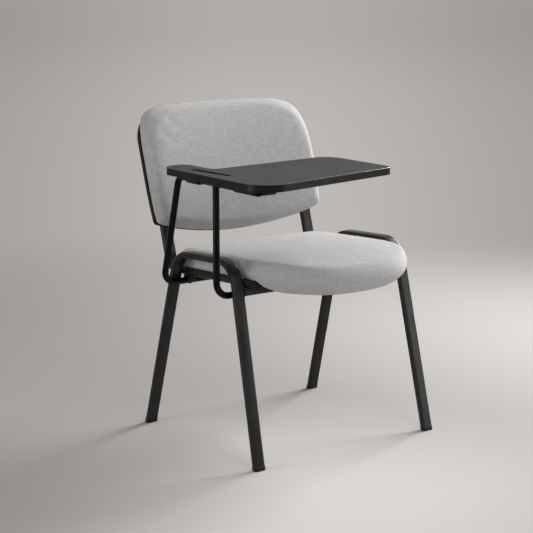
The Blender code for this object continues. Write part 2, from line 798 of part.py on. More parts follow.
FRONT_ARM_Y, FRONT_ARM_Z = arm_foot_place(True, FRONT_FOOT_DROP)
REAR_ARM_Y, REAR_ARM_Z = arm_foot_place(False, REAR_FOOT_DROP)
ARM_FEET = (("front", FRONT_ARM_Y, FRONT_ARM_Z), ("rear", REAR_ARM_Y, REAR_ARM_Z))
ARM_FOOT_END = UPRIGHT_X + CLAMP_LENGTH / 2 + ARM_FOOT_PAST
RUN_REAR_Y = REAR_ARM_Y - math.tan(REAR_RAKE) * (ARM_RUN_Z - REAR_ARM_Z)
RUN_FRONT_Y = TABLET_REAR - TABLET_LENGTH + RUN_END_INSET
ARM_TURN = Matrix.Rotation(math.pi / 2, 4, "Y")


def rod(name, radius, start, finish, collection=None):
    # A straight round bar between two points.
    bm = bmesh.new()
    along = finish - start
    bmesh.ops.create_cone(
        bm,
        cap_ends=True,
        segments=ROUND_SIDES,
        radius1=radius,
        radius2=radius,
        depth=along.length,
    )
    turn = along.to_track_quat("Z", "Y").to_matrix().to_4x4()
    bmesh.ops.transform(bm, matrix=Matrix.Translation((start + finish) / 2) @ turn, verts=bm.verts)
    return mesh_object(name, bm, collection)


def make_arm():
    rear = [
        Vector((ARM_FOOT_END, REAR_ARM_Y, REAR_ARM_Z)),
        Vector((ARM_X, REAR_ARM_Y, REAR_ARM_Z)),
        Vector((ARM_X, RUN_REAR_Y, ARM_RUN_Z)),
        Vector((ARM_X, RUN_FRONT_Y, ARM_RUN_Z)),
    ]
    bends = [0.0, ARM_FOOT_BEND, ARM_TOP_BEND, 0.0]
    main = round_tube("arm_main_tube", rounded_path(rear, bends, BEND_STEPS))
    place(main, FRAME_BLACK, ROOT)
    front = [
        Vector((ARM_FOOT_END, FRONT_ARM_Y, FRONT_ARM_Z)),
        Vector((ARM_X, FRONT_ARM_Y, FRONT_ARM_Z)),
        Vector((ARM_X, FRONT_ARM_Y, ARM_RUN_Z)),
    ]
    post = round_tube("arm_front_post", rounded_path(front, ARM_FOOT_BEND, BEND_STEPS))
    place(post, FRAME_BLACK, ROOT)
    bite = rod(
        "run_bite",
        ARM_RADIUS / math.cos(math.pi / ROUND_SIDES) + GAP,
        Vector((ARM_X, FRONT_ARM_Y - TUBE_WIDTH, ARM_RUN_Z)),
        Vector((ARM_X, FRONT_ARM_Y + TUBE_WIDTH, ARM_RUN_Z)),
        HELPERS,
    )
    place(as_cutter(bite), FRAME_BLACK, ROOT)
    cut(post, bite, "fish_mouth")


def round_plug(name, spot, turn):
    # A domed head with a stem in the tube's bore, turned from a profile.
    bore = ARM_RADIUS * math.cos(math.pi / ROUND_SIDES) - ARM_WALL - GAP
    bm = bmesh.new()
    profile = [(0.0, PLUG_HEAD + GAP)]
    for angle in spread(0.0, math.pi / 2, DOME_STEPS):
        profile.append((ARM_RADIUS * math.sin(angle), PLUG_HEAD * math.cos(angle) + GAP))
    profile += [(ARM_RADIUS, GAP), (bore, GAP), (bore, -PLUG_STEM), (0.0, -PLUG_STEM)]
    line = [bm.verts.new((r, 0.0, z)) for r, z in profile]
    for a, b in zip(line, line[1:]):
        bm.edges.new((a, b))
    mesh = bpy.data.meshes.new(name)
    bm.to_mesh(mesh)
    bm.free()
    plug = bpy.data.objects.new(name, mesh)
    PARTS.objects.link(plug)
    spin = plug.modifiers.new("turned", "SCREW")
    spin.steps = ROUND_SIDES
    spin.render_steps = ROUND_SIDES
    spin.use_merge_vertices = True
    spin.merge_threshold = 0.00001
    place(plug, CAP_BLACK, ROOT, Matrix.Translation(spot) @ turn)


def make_arm_plugs():
    round_plug(
        "run_end_plug",
        Vector((ARM_X, RUN_FRONT_Y, ARM_RUN_Z)),
        Matrix.Rotation(math.pi / 2, 4, "X"),
    )
    for word, y, z in ARM_FEET:
        round_plug(f"{word}_foot_plug", Vector((ARM_FOOT_END, y, z)), ARM_TURN)


def make_arm_clamps():
    # Saddle blocks between the arm's feet and the seat rails above them.
    for word, y, z in ARM_FEET:
        bore = rod(
            f"{word}_clamp_bore",
            ARM_RADIUS / math.cos(math.pi / ROUND_SIDES) + GAP,
            Vector((-loop_inner_x(0.0), y, z)),
            Vector((loop_inner_x(0.0), y, z)),
            HELPERS,
        )
        place(as_cutter(bore), FRAME_BLACK, ROOT)
        for side, hand in SIDE_NAMES.items():
            plan = box_outline(CLAMP_LENGTH / 2, ARM_RADIUS + CLAMP_WALL, 0.0, 1)
            bm = prism(plan, z, z + ARM_RADIUS)
            for v in bm.verts:
                if v.co.z > z + ARM_RADIUS / 2:
                    under = TUBE_DEPTH / 2 / math.cos(SEAT_TILT) + GAP
                    v.co.z = seat_rail_z(y + v.co.y) - under
            name = f"{word}_{hand}_arm_clamp"
            clamp = mesh_object(name, bm)
            soften(clamp, CLAMP_WALL / 3, 2)
            cut(clamp, bore, "bore")
            place(clamp, CAP_BLACK, ROOT, Matrix.Translation((side * UPRIGHT_X, y, 0.0)))


HINGE = bpy.data.objects.new("tablet_hinge", None)
PARTS.objects.link(HINGE)
HINGE.parent = ROOT
HINGE.location = (ARM_X, 0.0, ARM_RUN_Z)
TABLET_LOW = ARM_RADIUS + TABLET_GAP


def tablet_outline(inset=0.0):
    # Seen from above, in the hinge's frame, anticlockwise from the rear outer corner.
    outer = -TABLET_OVERHANG
    inner = outer + TABLET_WIDTH
    arm = outer + TABLET_ARM_WIDTH
    neck = TABLET_REAR - TABLET_ARM_LENGTH
    front = TABLET_REAR - TABLET_LENGTH
    corners = [
        Vector((outer, TABLET_REAR, 0.0)),
        Vector((outer, front, 0.0)),
        Vector((inner, front + math.tan(TABLET_FRONT_SLANT) * TABLET_WIDTH, 0.0)),
        Vector((inner, neck + math.tan(TABLET_REAR_SLANT) * (inner - arm), 0.0)),
        Vector((arm, neck, 0.0)),
        Vector((arm, TABLET_REAR, 0.0)),
    ]
    radii = [
        TABLET_TAIL_OUTER - inset,
        TABLET_FRONT_OUTER - inset,
        TABLET_FRONT_INNER - inset,
        TABLET_REAR_INNER - inset,
        TABLET_NECK + inset,
        TABLET_TAIL_INNER - inset,
    ]
    moved = []
    for i, corner in enumerate(corners):
        arriving = (corner - corners[i - 1]).normalized()
        leaving = (corners[(i + 1) % len(corners)] - corner).normalized()
        normals = [Vector((-along.y, along.x, 0.0)) for along in (arriving, leaving)]
        moved.append(corner + (normals[0] + normals[1]) * inset / (1.0 + normals[0].dot(normals[1])))
    return rounded_outline(moved, radii, CORNER_STEPS)


def make_tablet():
    # A moulded plate whose edge hangs down as a skirt around the hinge.
    top = TABLET_LOW + TABLET_THICK
    low = TABLET_LOW - TABLET_SKIRT
    tablet = mesh_object("tablet_top", prism(tablet_outline(), low, top))
    soften(tablet, TABLET_ROUND, 3, 60.0)
    hollow = prism(tablet_outline(TABLET_SKIRT_WALL), low - TABLET_SKIRT, TABLET_LOW)
    hollow = as_cutter(mesh_object("tablet_hollow", hollow, HELPERS))
    place(hollow, TABLET_GREY, HINGE)
    cut(tablet, hollow, "hollow")
    half = GROOVE_WIDTH / 2
    plan = box_outline(half, GROOVE_LENGTH / 2, half - GAP, CORNER_STEPS)
    groove = prism(plan, top - GROOVE_DEPTH, top + GROOVE_DEPTH)
    groove = as_cutter(mesh_object("pen_groove", groove, HELPERS))
    middle = Vector((
        -TABLET_OVERHANG + GROOVE_IN + math.sin(GROOVE_SLANT) * GROOVE_LENGTH / 2,
        TABLET_REAR - GROOVE_BACK - math.cos(GROOVE_SLANT) * GROOVE_LENGTH / 2,
        0.0,
    ))
    slant = Matrix.Translation(middle) @ Matrix.Rotation(GROOVE_SLANT, 4, "Z")
    place(groove, TABLET_GREY, HINGE, slant)
    cut(tablet, groove, "pen_groove")
    place(tablet, TABLET_GREY, HINGE)


def saddle_profile(wall, flange, inner_reach, inner_depth, corner):
    # A strap under the tube with a flange on each side, seen along the tube.
    bore = (ARM_RADIUS + HINGE_CLEAR) / math.cos(math.pi / ROUND_SIDES)
    outer = bore + wall
    roof = TABLET_LOW - GAP
    under = roof - flange
    floor = roof - inner_depth
    steps = ROUND_SIDES // 2
    points = [Vector((-outer - SADDLE_FLANGE, roof, 0.0))]
    points.append(Vector((-outer - SADDLE_FLANGE, under, 0.0)))
    points.append(Vector((-outer, under, 0.0)))
    for i in range(steps + 1):
        turn = math.pi + math.pi * i / steps
        strap = Vector((outer * math.cos(turn), outer * math.sin(turn), 0.0))
        if strap.x < 0.0 or strap.y < floor:
            points.append(strap)
    meeting = math.sqrt(outer ** 2 - min(floor, 0.0) ** 2)
    points.append(Vector((meeting, floor, 0.0)))
    end = outer + inner_reach
    for i in range(CORNER_STEPS + 1):
        turn = math.pi * (1.5 + 0.5 * i / CORNER_STEPS)
        x = end - corner * (1.0 - math.cos(turn))
        points.append(Vector((x, floor + corner * (1.0 + math.sin(turn)), 0.0)))
    points.append(Vector((end, roof, 0.0)))
    points.append(Vector((bore, roof, 0.0)))
    for i in range(steps + 1):
        turn = -math.pi * i / steps
        points.append(Vector((bore * math.cos(turn), bore * math.sin(turn), 0.0)))
    points.append(Vector((-bore, roof, 0.0)))
    return points


# The saddle is drawn in XY and laid along the tube, with local Y up.
ALONG_RUN = Matrix.Rotation(math.pi / 2, 4, "X")


def make_hinge():
    bend_reach = ARM_TOP_BEND * math.tan((math.pi / 2 - REAR_RAKE) / 2)
    rear_start = RUN_REAR_Y - bend_reach - SADDLE_REAR_SPACE
    front_start = RUN_FRONT_Y - BLOCK_PAST + BLOCK_LENGTH
    profile = saddle_profile(SADDLE_WALL, SADDLE_WALL, SADDLE_FLANGE, SADDLE_WALL, SADDLE_WALL / 3)
    rear = mesh_object("rear_hinge_saddle", prism(profile, 0.0, SADDLE_LENGTH))
    place(rear, CAP_BLACK, HINGE, Matrix.Translation((0.0, rear_start, 0.0)) @ ALONG_RUN)
    profile = saddle_profile(BLOCK_WALL, SADDLE_WALL, BLOCK_REACH, BLOCK_DEPTH, BLOCK_CORNER)
    block = mesh_object("front_hinge_block", prism(profile, 0.0, BLOCK_LENGTH))
    place(block, CAP_BLACK, HINGE, Matrix.Translation((0.0, front_start, 0.0)) @ ALONG_RUN)


def make_stop():
    # A bar welded to the arm's run carries a buffer that the tablet rests on.
    start = ARM_X + ARM_RADIUS + GAP
    y = FRONT_ARM_Y + ARM_RADIUS + STOP_SPACE + STOP_WIDTH / 2
    plan = box_outline(STOP_LENGTH / 2, STOP_WIDTH / 2, STOP_WIDTH / 4, 3)
    bar = mesh_object("stop_bar", prism(plan, -STOP_THICK / 2, STOP_THICK / 2))
    middle = Matrix.Translation((start + STOP_LENGTH / 2, y, ARM_RUN_Z))
    place(bar, FRAME_BLACK, ROOT, middle)
    buffer = rod(
        "stop_buffer",
        BUFFER_RADIUS,
        Vector((start + STOP_LENGTH - STOP_WIDTH / 2, y, ARM_RUN_Z + STOP_THICK / 2 + GAP)),
        Vector((start + STOP_LENGTH - STOP_WIDTH / 2, y, ARM_RUN_Z + TABLET_LOW - GAP)),
    )
    place(buffer, RUBBER, ROOT)


make_side_loops()
make_feet()
make_uprights()
make_cross_tubes()
make_seat_panels()
make_seat_cushion()
make_back_shell()
make_back_board()
make_back_cushion()
make_arm()
make_arm_plugs()
make_arm_clamps()
make_tablet()
make_hinge()
make_stop()
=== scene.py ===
import math
import bmesh
import bpy
import numpy as np
from mathutils import Matrix, Vector


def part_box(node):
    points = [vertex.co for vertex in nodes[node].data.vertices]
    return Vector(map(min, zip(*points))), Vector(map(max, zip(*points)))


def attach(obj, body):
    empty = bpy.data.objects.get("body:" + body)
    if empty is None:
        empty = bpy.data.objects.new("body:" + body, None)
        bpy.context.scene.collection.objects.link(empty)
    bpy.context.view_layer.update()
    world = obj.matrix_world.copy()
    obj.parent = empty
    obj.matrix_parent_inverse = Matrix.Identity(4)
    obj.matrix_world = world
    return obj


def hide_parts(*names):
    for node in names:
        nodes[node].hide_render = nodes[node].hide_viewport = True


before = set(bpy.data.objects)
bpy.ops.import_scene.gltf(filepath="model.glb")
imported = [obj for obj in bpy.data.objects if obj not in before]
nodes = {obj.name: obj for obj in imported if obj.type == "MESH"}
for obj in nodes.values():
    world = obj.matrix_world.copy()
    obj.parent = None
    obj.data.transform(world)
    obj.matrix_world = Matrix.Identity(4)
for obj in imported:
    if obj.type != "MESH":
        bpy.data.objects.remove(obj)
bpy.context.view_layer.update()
scene = bpy.context.scene
scene.view_settings.view_transform = "Standard"
chairAt = Vector((0.0281, -0.0010, 0.0))  # the chair's middle line, seen from the frame's origin
sides = {"right": -1, "left": 1}
leftward = Vector((1.0, 0.0, 0.0))
rearward = Vector((0.0, 1.0, 0.0))
downward = Vector((0.0, 0.0, -1.0))
print("frame loaded:", len(nodes), "nodes")


def addObject(name, data):
    made = bpy.data.objects.new(name, data)
    scene.collection.objects.link(made)
    return made


def assign(target, **settings):
    for word, value in settings.items():
        setattr(target, word, value)
    return target


# camera, as fitted to the photo
photo = {"place": (-2.2321, -2.9459, 1.168), "turn": 36.3209, "tilt": 11.5804,
         "focus": 1523.0, "picture": 533.0, "sensor": 36.0}


def makeCamera():
    lens = bpy.data.cameras.new("photo_camera")
    lens.sensor_width = photo["sensor"]
    lens.lens = photo["sensor"] * photo["focus"] / photo["picture"]
    made = addObject("photo_camera", lens)
    made.location = Vector(photo["place"]) + chairAt
    made.rotation_euler = (math.radians(90.0 - photo["tilt"]), 0.0, math.radians(-photo["turn"]))
    scene.camera = made


makeCamera()
print("camera set")


# node helpers
def feed(tree, node, feeds):  # plain colours come as three values
    for socket, source in feeds.items():
        target = node.inputs[socket]
        if isinstance(source, bpy.types.NodeSocket):
            tree.links.new(source, target)
        else:
            target.default_value = (*source, 1.0) if target.type == "RGBA" else source
    return node


def put(tree, kind, feeds=None, **settings):
    return feed(tree, assign(tree.nodes.new(kind), **settings), feeds or {})


def calc(tree, kind, a, b):
    return put(tree, "ShaderNodeMath", {0: a, 1: b}, operation=kind).outputs[0]


def times(tree, a, b):
    return calc(tree, "MULTIPLY", a, b)


def vectorCalc(tree, kind, *values):
    return put(tree, "ShaderNodeVectorMath", dict(enumerate(values)), operation=kind).outputs


def scaled(tree, source, factor):
    feeds = {0: source, "Scale": factor}
    return put(tree, "ShaderNodeVectorMath", feeds, operation="SCALE").outputs[0]


def parted(tree, source):
    return put(tree, "ShaderNodeSeparateXYZ", {0: source}).outputs


def noise(tree, where, scale, detail, roughness=0.5):
    feeds = {"Vector": where, "Scale": scale, "Detail": detail, "Roughness": roughness}
    return put(tree, "ShaderNodeTexNoise", feeds).outputs


def stretched(tree, where, factors):
    return put(tree, "ShaderNodeMapping", {"Vector": where, "Scale": factors}).outputs[0]


def span(tree, source, low, high):  # stretches a mask from 0..1 onto low..high
    feeds = {"Value": source, "To Min": low, "To Max": high}
    return put(tree, "ShaderNodeMapRange", feeds).outputs["Result"]


def ramp(tree, source, low, high):  # a mask that rises from low to high
    feeds = {"Value": source, "From Min": low, "From Max": high}
    return put(tree, "ShaderNodeMapRange", feeds, interpolation_type="SMOOTHSTEP").outputs["Result"]


def mixed(tree, mask, a, b):
    return put(tree, "ShaderNodeMix", {0: mask, 6: a, 7: b}, data_type="RGBA").outputs[2]


def bumped(tree, height, strength, distance):
    feeds = {"Height": height, "Strength": strength, "Distance": distance}
    return put(tree, "ShaderNodeBump", feeds).outputs["Normal"]


def newGroup(name, takes, gives):
    tree = bpy.data.node_groups.new(name, "ShaderNodeTree")
    for label, value in takes.items():
        socket = tree.interface.new_socket(name=label, in_out="INPUT", socket_type="NodeSocketFloat")
        socket.default_value = value
    for label in gives:
        tree.interface.new_socket(name=label, in_out="OUTPUT", socket_type="NodeSocketFloat")
    return tree, tree.nodes.new("NodeGroupInput").outputs, tree.nodes.new("NodeGroupOutput").inputs


def useGroup(tree, group, **values):
    return put(tree, "ShaderNodeGroup", values, node_tree=group).outputs


contrast = (0.3, 0.7)  # the noise values between which a patch or a streak rises
wear = {"scale": 160.0, "gaps": (0.25, 0.55), "polish": 0.15, "coatRough": 0.2, "dust": 0.95}


def fineGrainGroup():  # a stipple for bump, broad patches for sheen and colour
    sizes = {"Fineness": 900.0, "Patches": 12.0}
    tree, takes, gives = newGroup("fine_grain", sizes, ("Stipple", "Patch"))
    where = put(tree, "ShaderNodeTexCoord").outputs["Object"]
    fine = noise(tree, where, takes["Fineness"], detail=3.0, roughness=0.6)["Fac"]
    tree.links.new(fine, gives["Stipple"])
    broad = noise(tree, where, takes["Patches"], detail=5.0, roughness=0.65)["Fac"]
    tree.links.new(ramp(tree, broad, *contrast), gives["Patch"])
    return tree


def edgeRubGroup():  # edges that hands and shoes have polished, from the pieces' own rub values; on the tablet's top edges their lighter colour is also a painted highlight
    tree, takes, gives = newGroup("edge_rub", {"Amount": 0.5}, ("Rub",))
    rub = put(tree, "ShaderNodeAttribute", attribute_name="rub").outputs["Fac"]
    where = put(tree, "ShaderNodeTexCoord").outputs["Object"]
    broken = noise(tree, where, wear["scale"], detail=4.0)["Fac"]
    patchy = times(tree, rub, ramp(tree, broken, *wear["gaps"]))
    tree.links.new(times(tree, patchy, takes["Amount"]), gives["Rub"])
    return tree


grain = fineGrainGroup()
rubbed = edgeRubGroup()


def newFinish(name):
    made = bpy.data.materials.new(name)
    made.use_nodes = True
    return made, made.node_tree, made.node_tree.nodes["Principled BSDF"]


def hardFinish(name, **look):  # paint, plastic or rubber: dark base, patchy sheen, stippled surface
    made, tree, shader = newFinish(name)
    fineness, patches = look["grain"]
    mask = useGroup(tree, grain, Fineness=fineness, Patches=patches)
    rub = useGroup(tree, rubbed, Amount=look["rub"])["Rub"]
    base = mixed(tree, mask["Patch"], look["dark"], look["light"])
    # rubbed edges turn lighter: wear, and on the tablet's top edges a painted highlight too
    base = mixed(tree, rub, base, look["worn"])
    rough = span(tree, mask["Patch"], *look["sheen"])
    rough = calc(tree, "SUBTRACT", rough, times(tree, rub, wear["polish"]))
    if "pit" in look:  # painted shade in a groove, whose floor is also made matte
        pit = put(tree, "ShaderNodeAttribute", attribute_name="pit").outputs["Fac"]
        base = mixed(tree, pit, base, look["pit"])
        rough = calc(tree, "MAXIMUM", rough, times(tree, pit, wear["dust"]))
    feed(tree, shader, {
        "Base Color": base, "Roughness": rough, "Specular IOR Level": look["gloss"],
        "Coat Weight": rub, "Coat Roughness": wear["coatRough"],
        "Normal": bumped(tree, mask["Stipple"], *look["bump"]),
    })
    return made


powderCoat = hardFinish(
    "powder_coat",
    dark=(0.0190,) * 3, light=(0.0250, 0.0250, 0.0248), worn=(0.054, 0.054, 0.053),
    sheen=(0.20, 0.28), gloss=0.16, grain=(1100.0, 9.0), bump=(0.16, 0.0004), rub=0.35,
)
# the arm's tubes wear the frame's black paint; this copy is about ten times darker, as painted shade
shadedArmPaint = hardFinish(
    "shaded_arm_paint",
    dark=(0.0018,) * 3, light=(0.0028,) * 3, worn=(0.022,) * 3,
    sheen=(0.17, 0.24), gloss=0.12, grain=(1100.0, 11.0), bump=(0.14, 0.0004), rub=0.35,
)
blackPlastic = hardFinish(
    "black_plastic",
    dark=(0.0048, 0.0048, 0.0050), light=(0.0072, 0.0072, 0.0074), worn=(0.022, 0.022, 0.023),
    sheen=(0.44, 0.56), gloss=0.20, grain=(1600.0, 14.0), bump=(0.22, 0.0003), rub=0.4,
)
# the tablet's rubbed top edges turn much lighter: edge wear, and a painted highlight along them
tabletPlastic = hardFinish(
    "tablet_plastic",
    dark=(0.0062,) * 3, light=(0.0080, 0.0080, 0.0079), worn=(0.080,) * 3,
    sheen=(0.36, 0.41), gloss=0.14, grain=(1300.0, 7.0), bump=(0.14, 0.0003), rub=0.85,
    # a near-black painted shade inside the pen groove
    pit=(0.0010,) * 3,
)
blackRubber = hardFinish(
    "black_rubber",
    dark=(0.0080,) * 3, light=(0.0120,) * 3, worn=(0.030,) * 3,
    sheen=(0.72, 0.85), gloss=0.3, grain=(800.0, 20.0), bump=(0.3, 0.0004), rub=0.3,
)
blackScrew = hardFinish(
    "black_screw",
    dark=(0.022, 0.022, 0.023), light=(0.030, 0.030, 0.031), worn=(0.16,) * 3,
    sheen=(0.30, 0.42), gloss=0.6, grain=(2200.0, 60.0), bump=(0.1, 0.0002), rub=0.6,
)


def clothFinish(name, **look):  # heathered plain weave, laid on from three sides
    made, tree, shader = newFinish(name)
    where = put(tree, "ShaderNodeTexCoord").outputs
    wobble = noise(tree, where["Object"], look["wobble"], detail=2.0)["Color"]
    shift = vectorCalc(tree, "MULTIPLY", wobble, [look["shift"]] * 3)[0]
    place = vectorCalc(tree, "ADD", where["Object"], shift)[0]
    threads = scaled(tree, place, 2.0 * math.pi / look["thread"])
    wave = parted(tree, vectorCalc(tree, "SINE", threads)[0])
    face = parted(tree, vectorCalc(tree, "MULTIPLY", where["Normal"], where["Normal"])[0])
    weave = None
    for across, along, out in (("X", "Y", "Z"), ("Y", "Z", "X"), ("X", "Z", "Y")):
        part = times(tree, times(tree, wave[across], wave[along]), face[out])
        weave = part if weave is None else calc(tree, "ADD", weave, part)
    # yarn colours: fine flecks, wider clouds and short slubs that run across the cloth
    drawn = stretched(tree, where["Object"], look["draw"])
    yarn = {
        "fleck": noise(tree, where["Object"], look["fleck"], detail=3.0, roughness=0.7)["Fac"],
        "cloud": noise(tree, where["Object"], look["cloud"], detail=4.0, roughness=0.6)["Fac"],
        "slub": noise(tree, drawn, look["slub"], detail=2.0)["Fac"],
    }
    heather = times(tree, weave, look["weaveTone"])
    for word, (low, high, share) in look["tones"].items():
        part = times(tree, ramp(tree, yarn[word], low, high), share)
        heather = calc(tree, "ADD", heather, part)
    raised = times(tree, weave, look["weaveRise"])
    for word, share in look["rises"].items():
        raised = calc(tree, "ADD", raised, times(tree, yarn[word], share))
    feed(tree, shader, {
        "Base Color": mixed(tree, heather, look["dark"], look["light"]),
        "Roughness": span(tree, heather, *look["rough"]), "Specular IOR Level": look["gloss"],
        "Sheen Weight": look["fuzz"], "Sheen Roughness": look["fuzzRough"],
        "Normal": bumped(tree, raised, *look["bump"]),
    })
    return made


greyCloth = clothFinish(
    "heathered_cloth",
    dark=(0.335, 0.332, 0.335), light=(0.565, 0.560, 0.565), rough=(0.95, 0.82), gloss=0.2,
    fuzz=0.25, fuzzRough=0.6, thread=0.0016, wobble=60.0, shift=0.0016,
    fleck=390.0, cloud=70.0, slub=520.0, draw=(0.30, 1.0, 1.0), bump=(0.55, 0.0006),
    weaveTone=0.10, weaveRise=0.5, rises={"slub": 0.7, "fleck": 0.8},
    tones={"fleck": (0.36, 0.64, 0.60), "cloud": (0.32, 0.68, 0.10), "slub": (0.35, 0.65, 0.20)},
)


def plywoodFinish(name, **look):  # for the boards inside the cushions
    made, tree, shader = newFinish(name)
    where = put(tree, "ShaderNodeTexCoord").outputs["Object"]
    streak = noise(tree, stretched(tree, where, look["draw"]), look["streaks"], detail=5.0)["Fac"]
    mask = ramp(tree, streak, *contrast)
    feed(tree, shader, {
        "Base Color": mixed(tree, mask, look["dark"], look["light"]),
        "Roughness": span(tree, mask, *look["rough"]), "Normal": bumped(tree, streak, *look["bump"]),
    })
    return made


rawPlywood = plywoodFinish(
    "raw_plywood",
    dark=(0.42, 0.28, 0.15), light=(0.60, 0.45, 0.28), rough=(0.75, 0.6),
    draw=(1.0, 0.08, 1.0), streaks=180.0, bump=(0.2, 0.0004),
)
print("finishes made")


# mesh helpers, all in the chair's own coordinates
samePoint = 0.00001
straight = math.radians(89.9)  # half the angle of a corner that hardly bends
rubWidth = 0.0012  # wider faces aren't edges


def settle(piece, finish, node=None, body="chair_frame", sharp=40.0):
    mesh = piece.data
    mesh.materials.clear()
    mesh.materials.append(finish)
    mesh.polygons.foreach_set("use_smooth", [True] * len(mesh.polygons))
    mesh.set_sharp_from_angle(angle=math.radians(sharp))
    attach(piece, body)
    if node:
        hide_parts(node)


def rework(mesh, change):
    bm = bmesh.new()
    bm.from_mesh(mesh)
    change(bm)
    bm.to_mesh(mesh)
    bm.free()


def faceOut(bm):
    bmesh.ops.recalc_face_normals(bm, faces=bm.faces)


def joinPoints(bm):
    bmesh.ops.remove_doubles(bm, verts=bm.verts, dist=samePoint)


def newObject(name, points, faces):
    mesh = bpy.data.meshes.new(name)
    mesh.from_pydata([Vector(p) + chairAt for p in points], [], faces)
    rework(mesh, faceOut)
    return addObject(name, mesh)


def makePiece(name, shape, finish, node, sharp=40.0):
    settle(newObject(name, *shape), finish, node, sharp=sharp)


def bake(piece):  # swaps a piece's modifiers for the mesh that they make
    bpy.context.view_layer.update()
    graph = bpy.context.evaluated_depsgraph_get()
    made = bpy.data.meshes.new_from_object(piece.evaluated_get(graph))
    old = piece.data
    piece.modifiers.clear()
    piece.data = made
    bpy.data.meshes.remove(old)
    return piece


def modify(piece, kind, **settings):
    return assign(piece.modifiers.new(kind.lower(), kind), **settings)


def subdivide(piece, levels):
    modify(piece, "SUBSURF", levels=levels, render_levels=levels)
    return bake(piece)


def easeEdges(piece, width, segments, angle):
    limit = math.radians(angle)
    modify(piece, "BEVEL", width=width, segments=segments, limit_method="ANGLE", angle_limit=limit)


def mark(piece, word, values):  # stores a value per point for the finishes
    piece.data.attributes.new(word, "FLOAT", "POINT").data.foreach_set("value", values)


def rubEdges(piece, low=20.0, high=75.0, floor=-1.0):  # marks the outer edges above a floor
    bm = bmesh.new()
    bm.from_mesh(piece.data)
    values = []
    for v in bm.verts:
        turns = [math.degrees(e.calc_face_angle_signed(0.0)) for e in v.link_edges]
        turn = max(turns, default=0.0)
        spans = [(f.calc_area(), max(e.calc_length() for e in f.edges)) for f in v.link_faces]
        broad = any(area > rubWidth * length for area, length in spans)
        plain = broad or v.co.z < floor
        values.append(0.0 if plain else min(1.0, max(0.0, (turn - low) / (high - low))))
    bm.free()
    mark(piece, "rub", values)


def arc(before, corner, after, radius, steps):
    inward = (before - corner).normalized()
    outward = (after - corner).normalized()
    half = inward.angle(outward) / 2.0
    if radius <= 0.0 or half > straight:
        return [corner]
    middle = corner + (inward + outward).normalized() * (radius / math.sin(half))
    reach = radius / math.tan(half)
    start = corner + inward * reach - middle
    finish = corner + outward * reach - middle
    axis = start.cross(finish).normalized()
    turn = start.angle(finish)
    return [middle + Matrix.Rotation(turn * i / steps, 3, axis) @ start for i in range(steps + 1)]


def bentPath(corners, radii, steps):
    points = [corners[0]]
    for i in range(1, len(corners) - 1):
        points += arc(corners[i - 1], corners[i], corners[i + 1], radii[i - 1], steps)
    return points + [corners[-1]]


def roundOutline(corners, radii, steps):
    points = []
    for i, corner in enumerate(corners):
        points += arc(corners[i - 1], corner, corners[(i + 1) % len(corners)], radii[i], steps)
    return points


def splitEdges(points, partsOf):  # cuts a closed outline's edges, into parts by their length
    dense = []
    for i, p in enumerate(points):
        following = points[(i + 1) % len(points)]
        parts = partsOf((following - p).length)
        dense += [p.lerp(following, k / parts) for k in range(parts)]
    return dense


def flatPoints(marks):
    return [Vector((a, b, 0.0)) for a, b in marks]


def sidePoints(marks):
    return [Vector((0.0, a, b)) for a, b in marks]


def ringOf(halfA, halfB, corner, steps=7):  # a rounded rectangle
    marks = [(halfA, halfB), (-halfA, halfB), (-halfA, -halfB), (halfA, -halfB)]
    return [(p.x, p.y) for p in roundOutline(flatPoints(marks), [corner] * 4, steps)]


def circle(radius, count=36):
    turns = [2 * math.pi * i / count for i in range(count)]
    return [(radius * math.cos(turn), radius * math.sin(turn)) for turn in turns]


def ringAt(spot, ring, first, second):  # a flat ring, set at a spot along two directions
    return [spot + first * a + second * b for a, b in ring]


def loft(rings, shutStart=True, shutEnd=True):  # skins a stack of equal rings
    count = len(rings[0])
    points = [p for ring in rings for p in ring]
    faces = []
    for k in range(len(rings) - 1):
        low, high = k * count, (k + 1) * count
        for i in range(count):
            j = (i + 1) % count
            faces.append((low + i, low + j, high + j, high + i))
    if shutStart:
        faces.append(tuple(range(count))[::-1])
    if shutEnd:
        last = (len(rings) - 1) * count
        faces.append(tuple(range(last, last + count)))
    return points, faces


def sweep(path, ring, across=None):  # carries a ring along a path; across is the ring's second axis
    rings = []
    side = Vector(across) if across else None
    for i, p in enumerate(path):
        ahead = path[min(i + 1, len(path) - 1)] - path[max(i - 1, 0)]
        ahead.normalize()
        if across is None:
            if side is None:
                side = ahead.orthogonal().normalized()
            side = (side - ahead * side.dot(ahead)).normalized()
        rings.append(ringAt(p, ring, side.cross(ahead).normalized(), side))
    return loft(rings)


def boxOf(node):  # middle and half size of a CAD piece
    low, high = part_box(node)
    return (low + high) / 2 - chairAt, (high - low) / 2


# flat tube frame
tube = {"width": 0.030, "depth": 0.015, "corner": 0.0055, "bendSteps": 28}
loop = {"footX": 0.260, "lean": math.radians(1.47), "frontY": -0.234, "rearY": 0.234,
        "frontRake": math.radians(13.5), "rearRake": math.radians(15.1),
        "topZ": 0.4625, "bend": 0.062, "footHeight": 0.010}
rail = {"tilt": math.radians(3.0), "z": 0.4138, "frontY": -0.157, "bend": 0.036, "x": 0.2186,
        "reach": 0.150}
back = {"y": 0.2175, "z": 0.503, "recline": math.radians(16.5)}
railTilt = Matrix.Rotation(-rail["tilt"], 3, "X")


def makePlug(name, rings, node):
    makePiece(name, loft(rings), blackPlastic, node, sharp=60.0)


def tubeRing(grow=0.0):
    return ringOf(tube["depth"] / 2 + grow, tube["width"] / 2 + grow, tube["corner"] + grow)


def loopPlace(side):  # the loop leans inward; also gives its sideways direction
    leaning = Matrix.Rotation(-side * loop["lean"], 4, "Y")
    place = Matrix.Translation((side * loop["footX"], 0.0, 0.0)) @ leaning
    return place, place.to_3x3() @ leftward


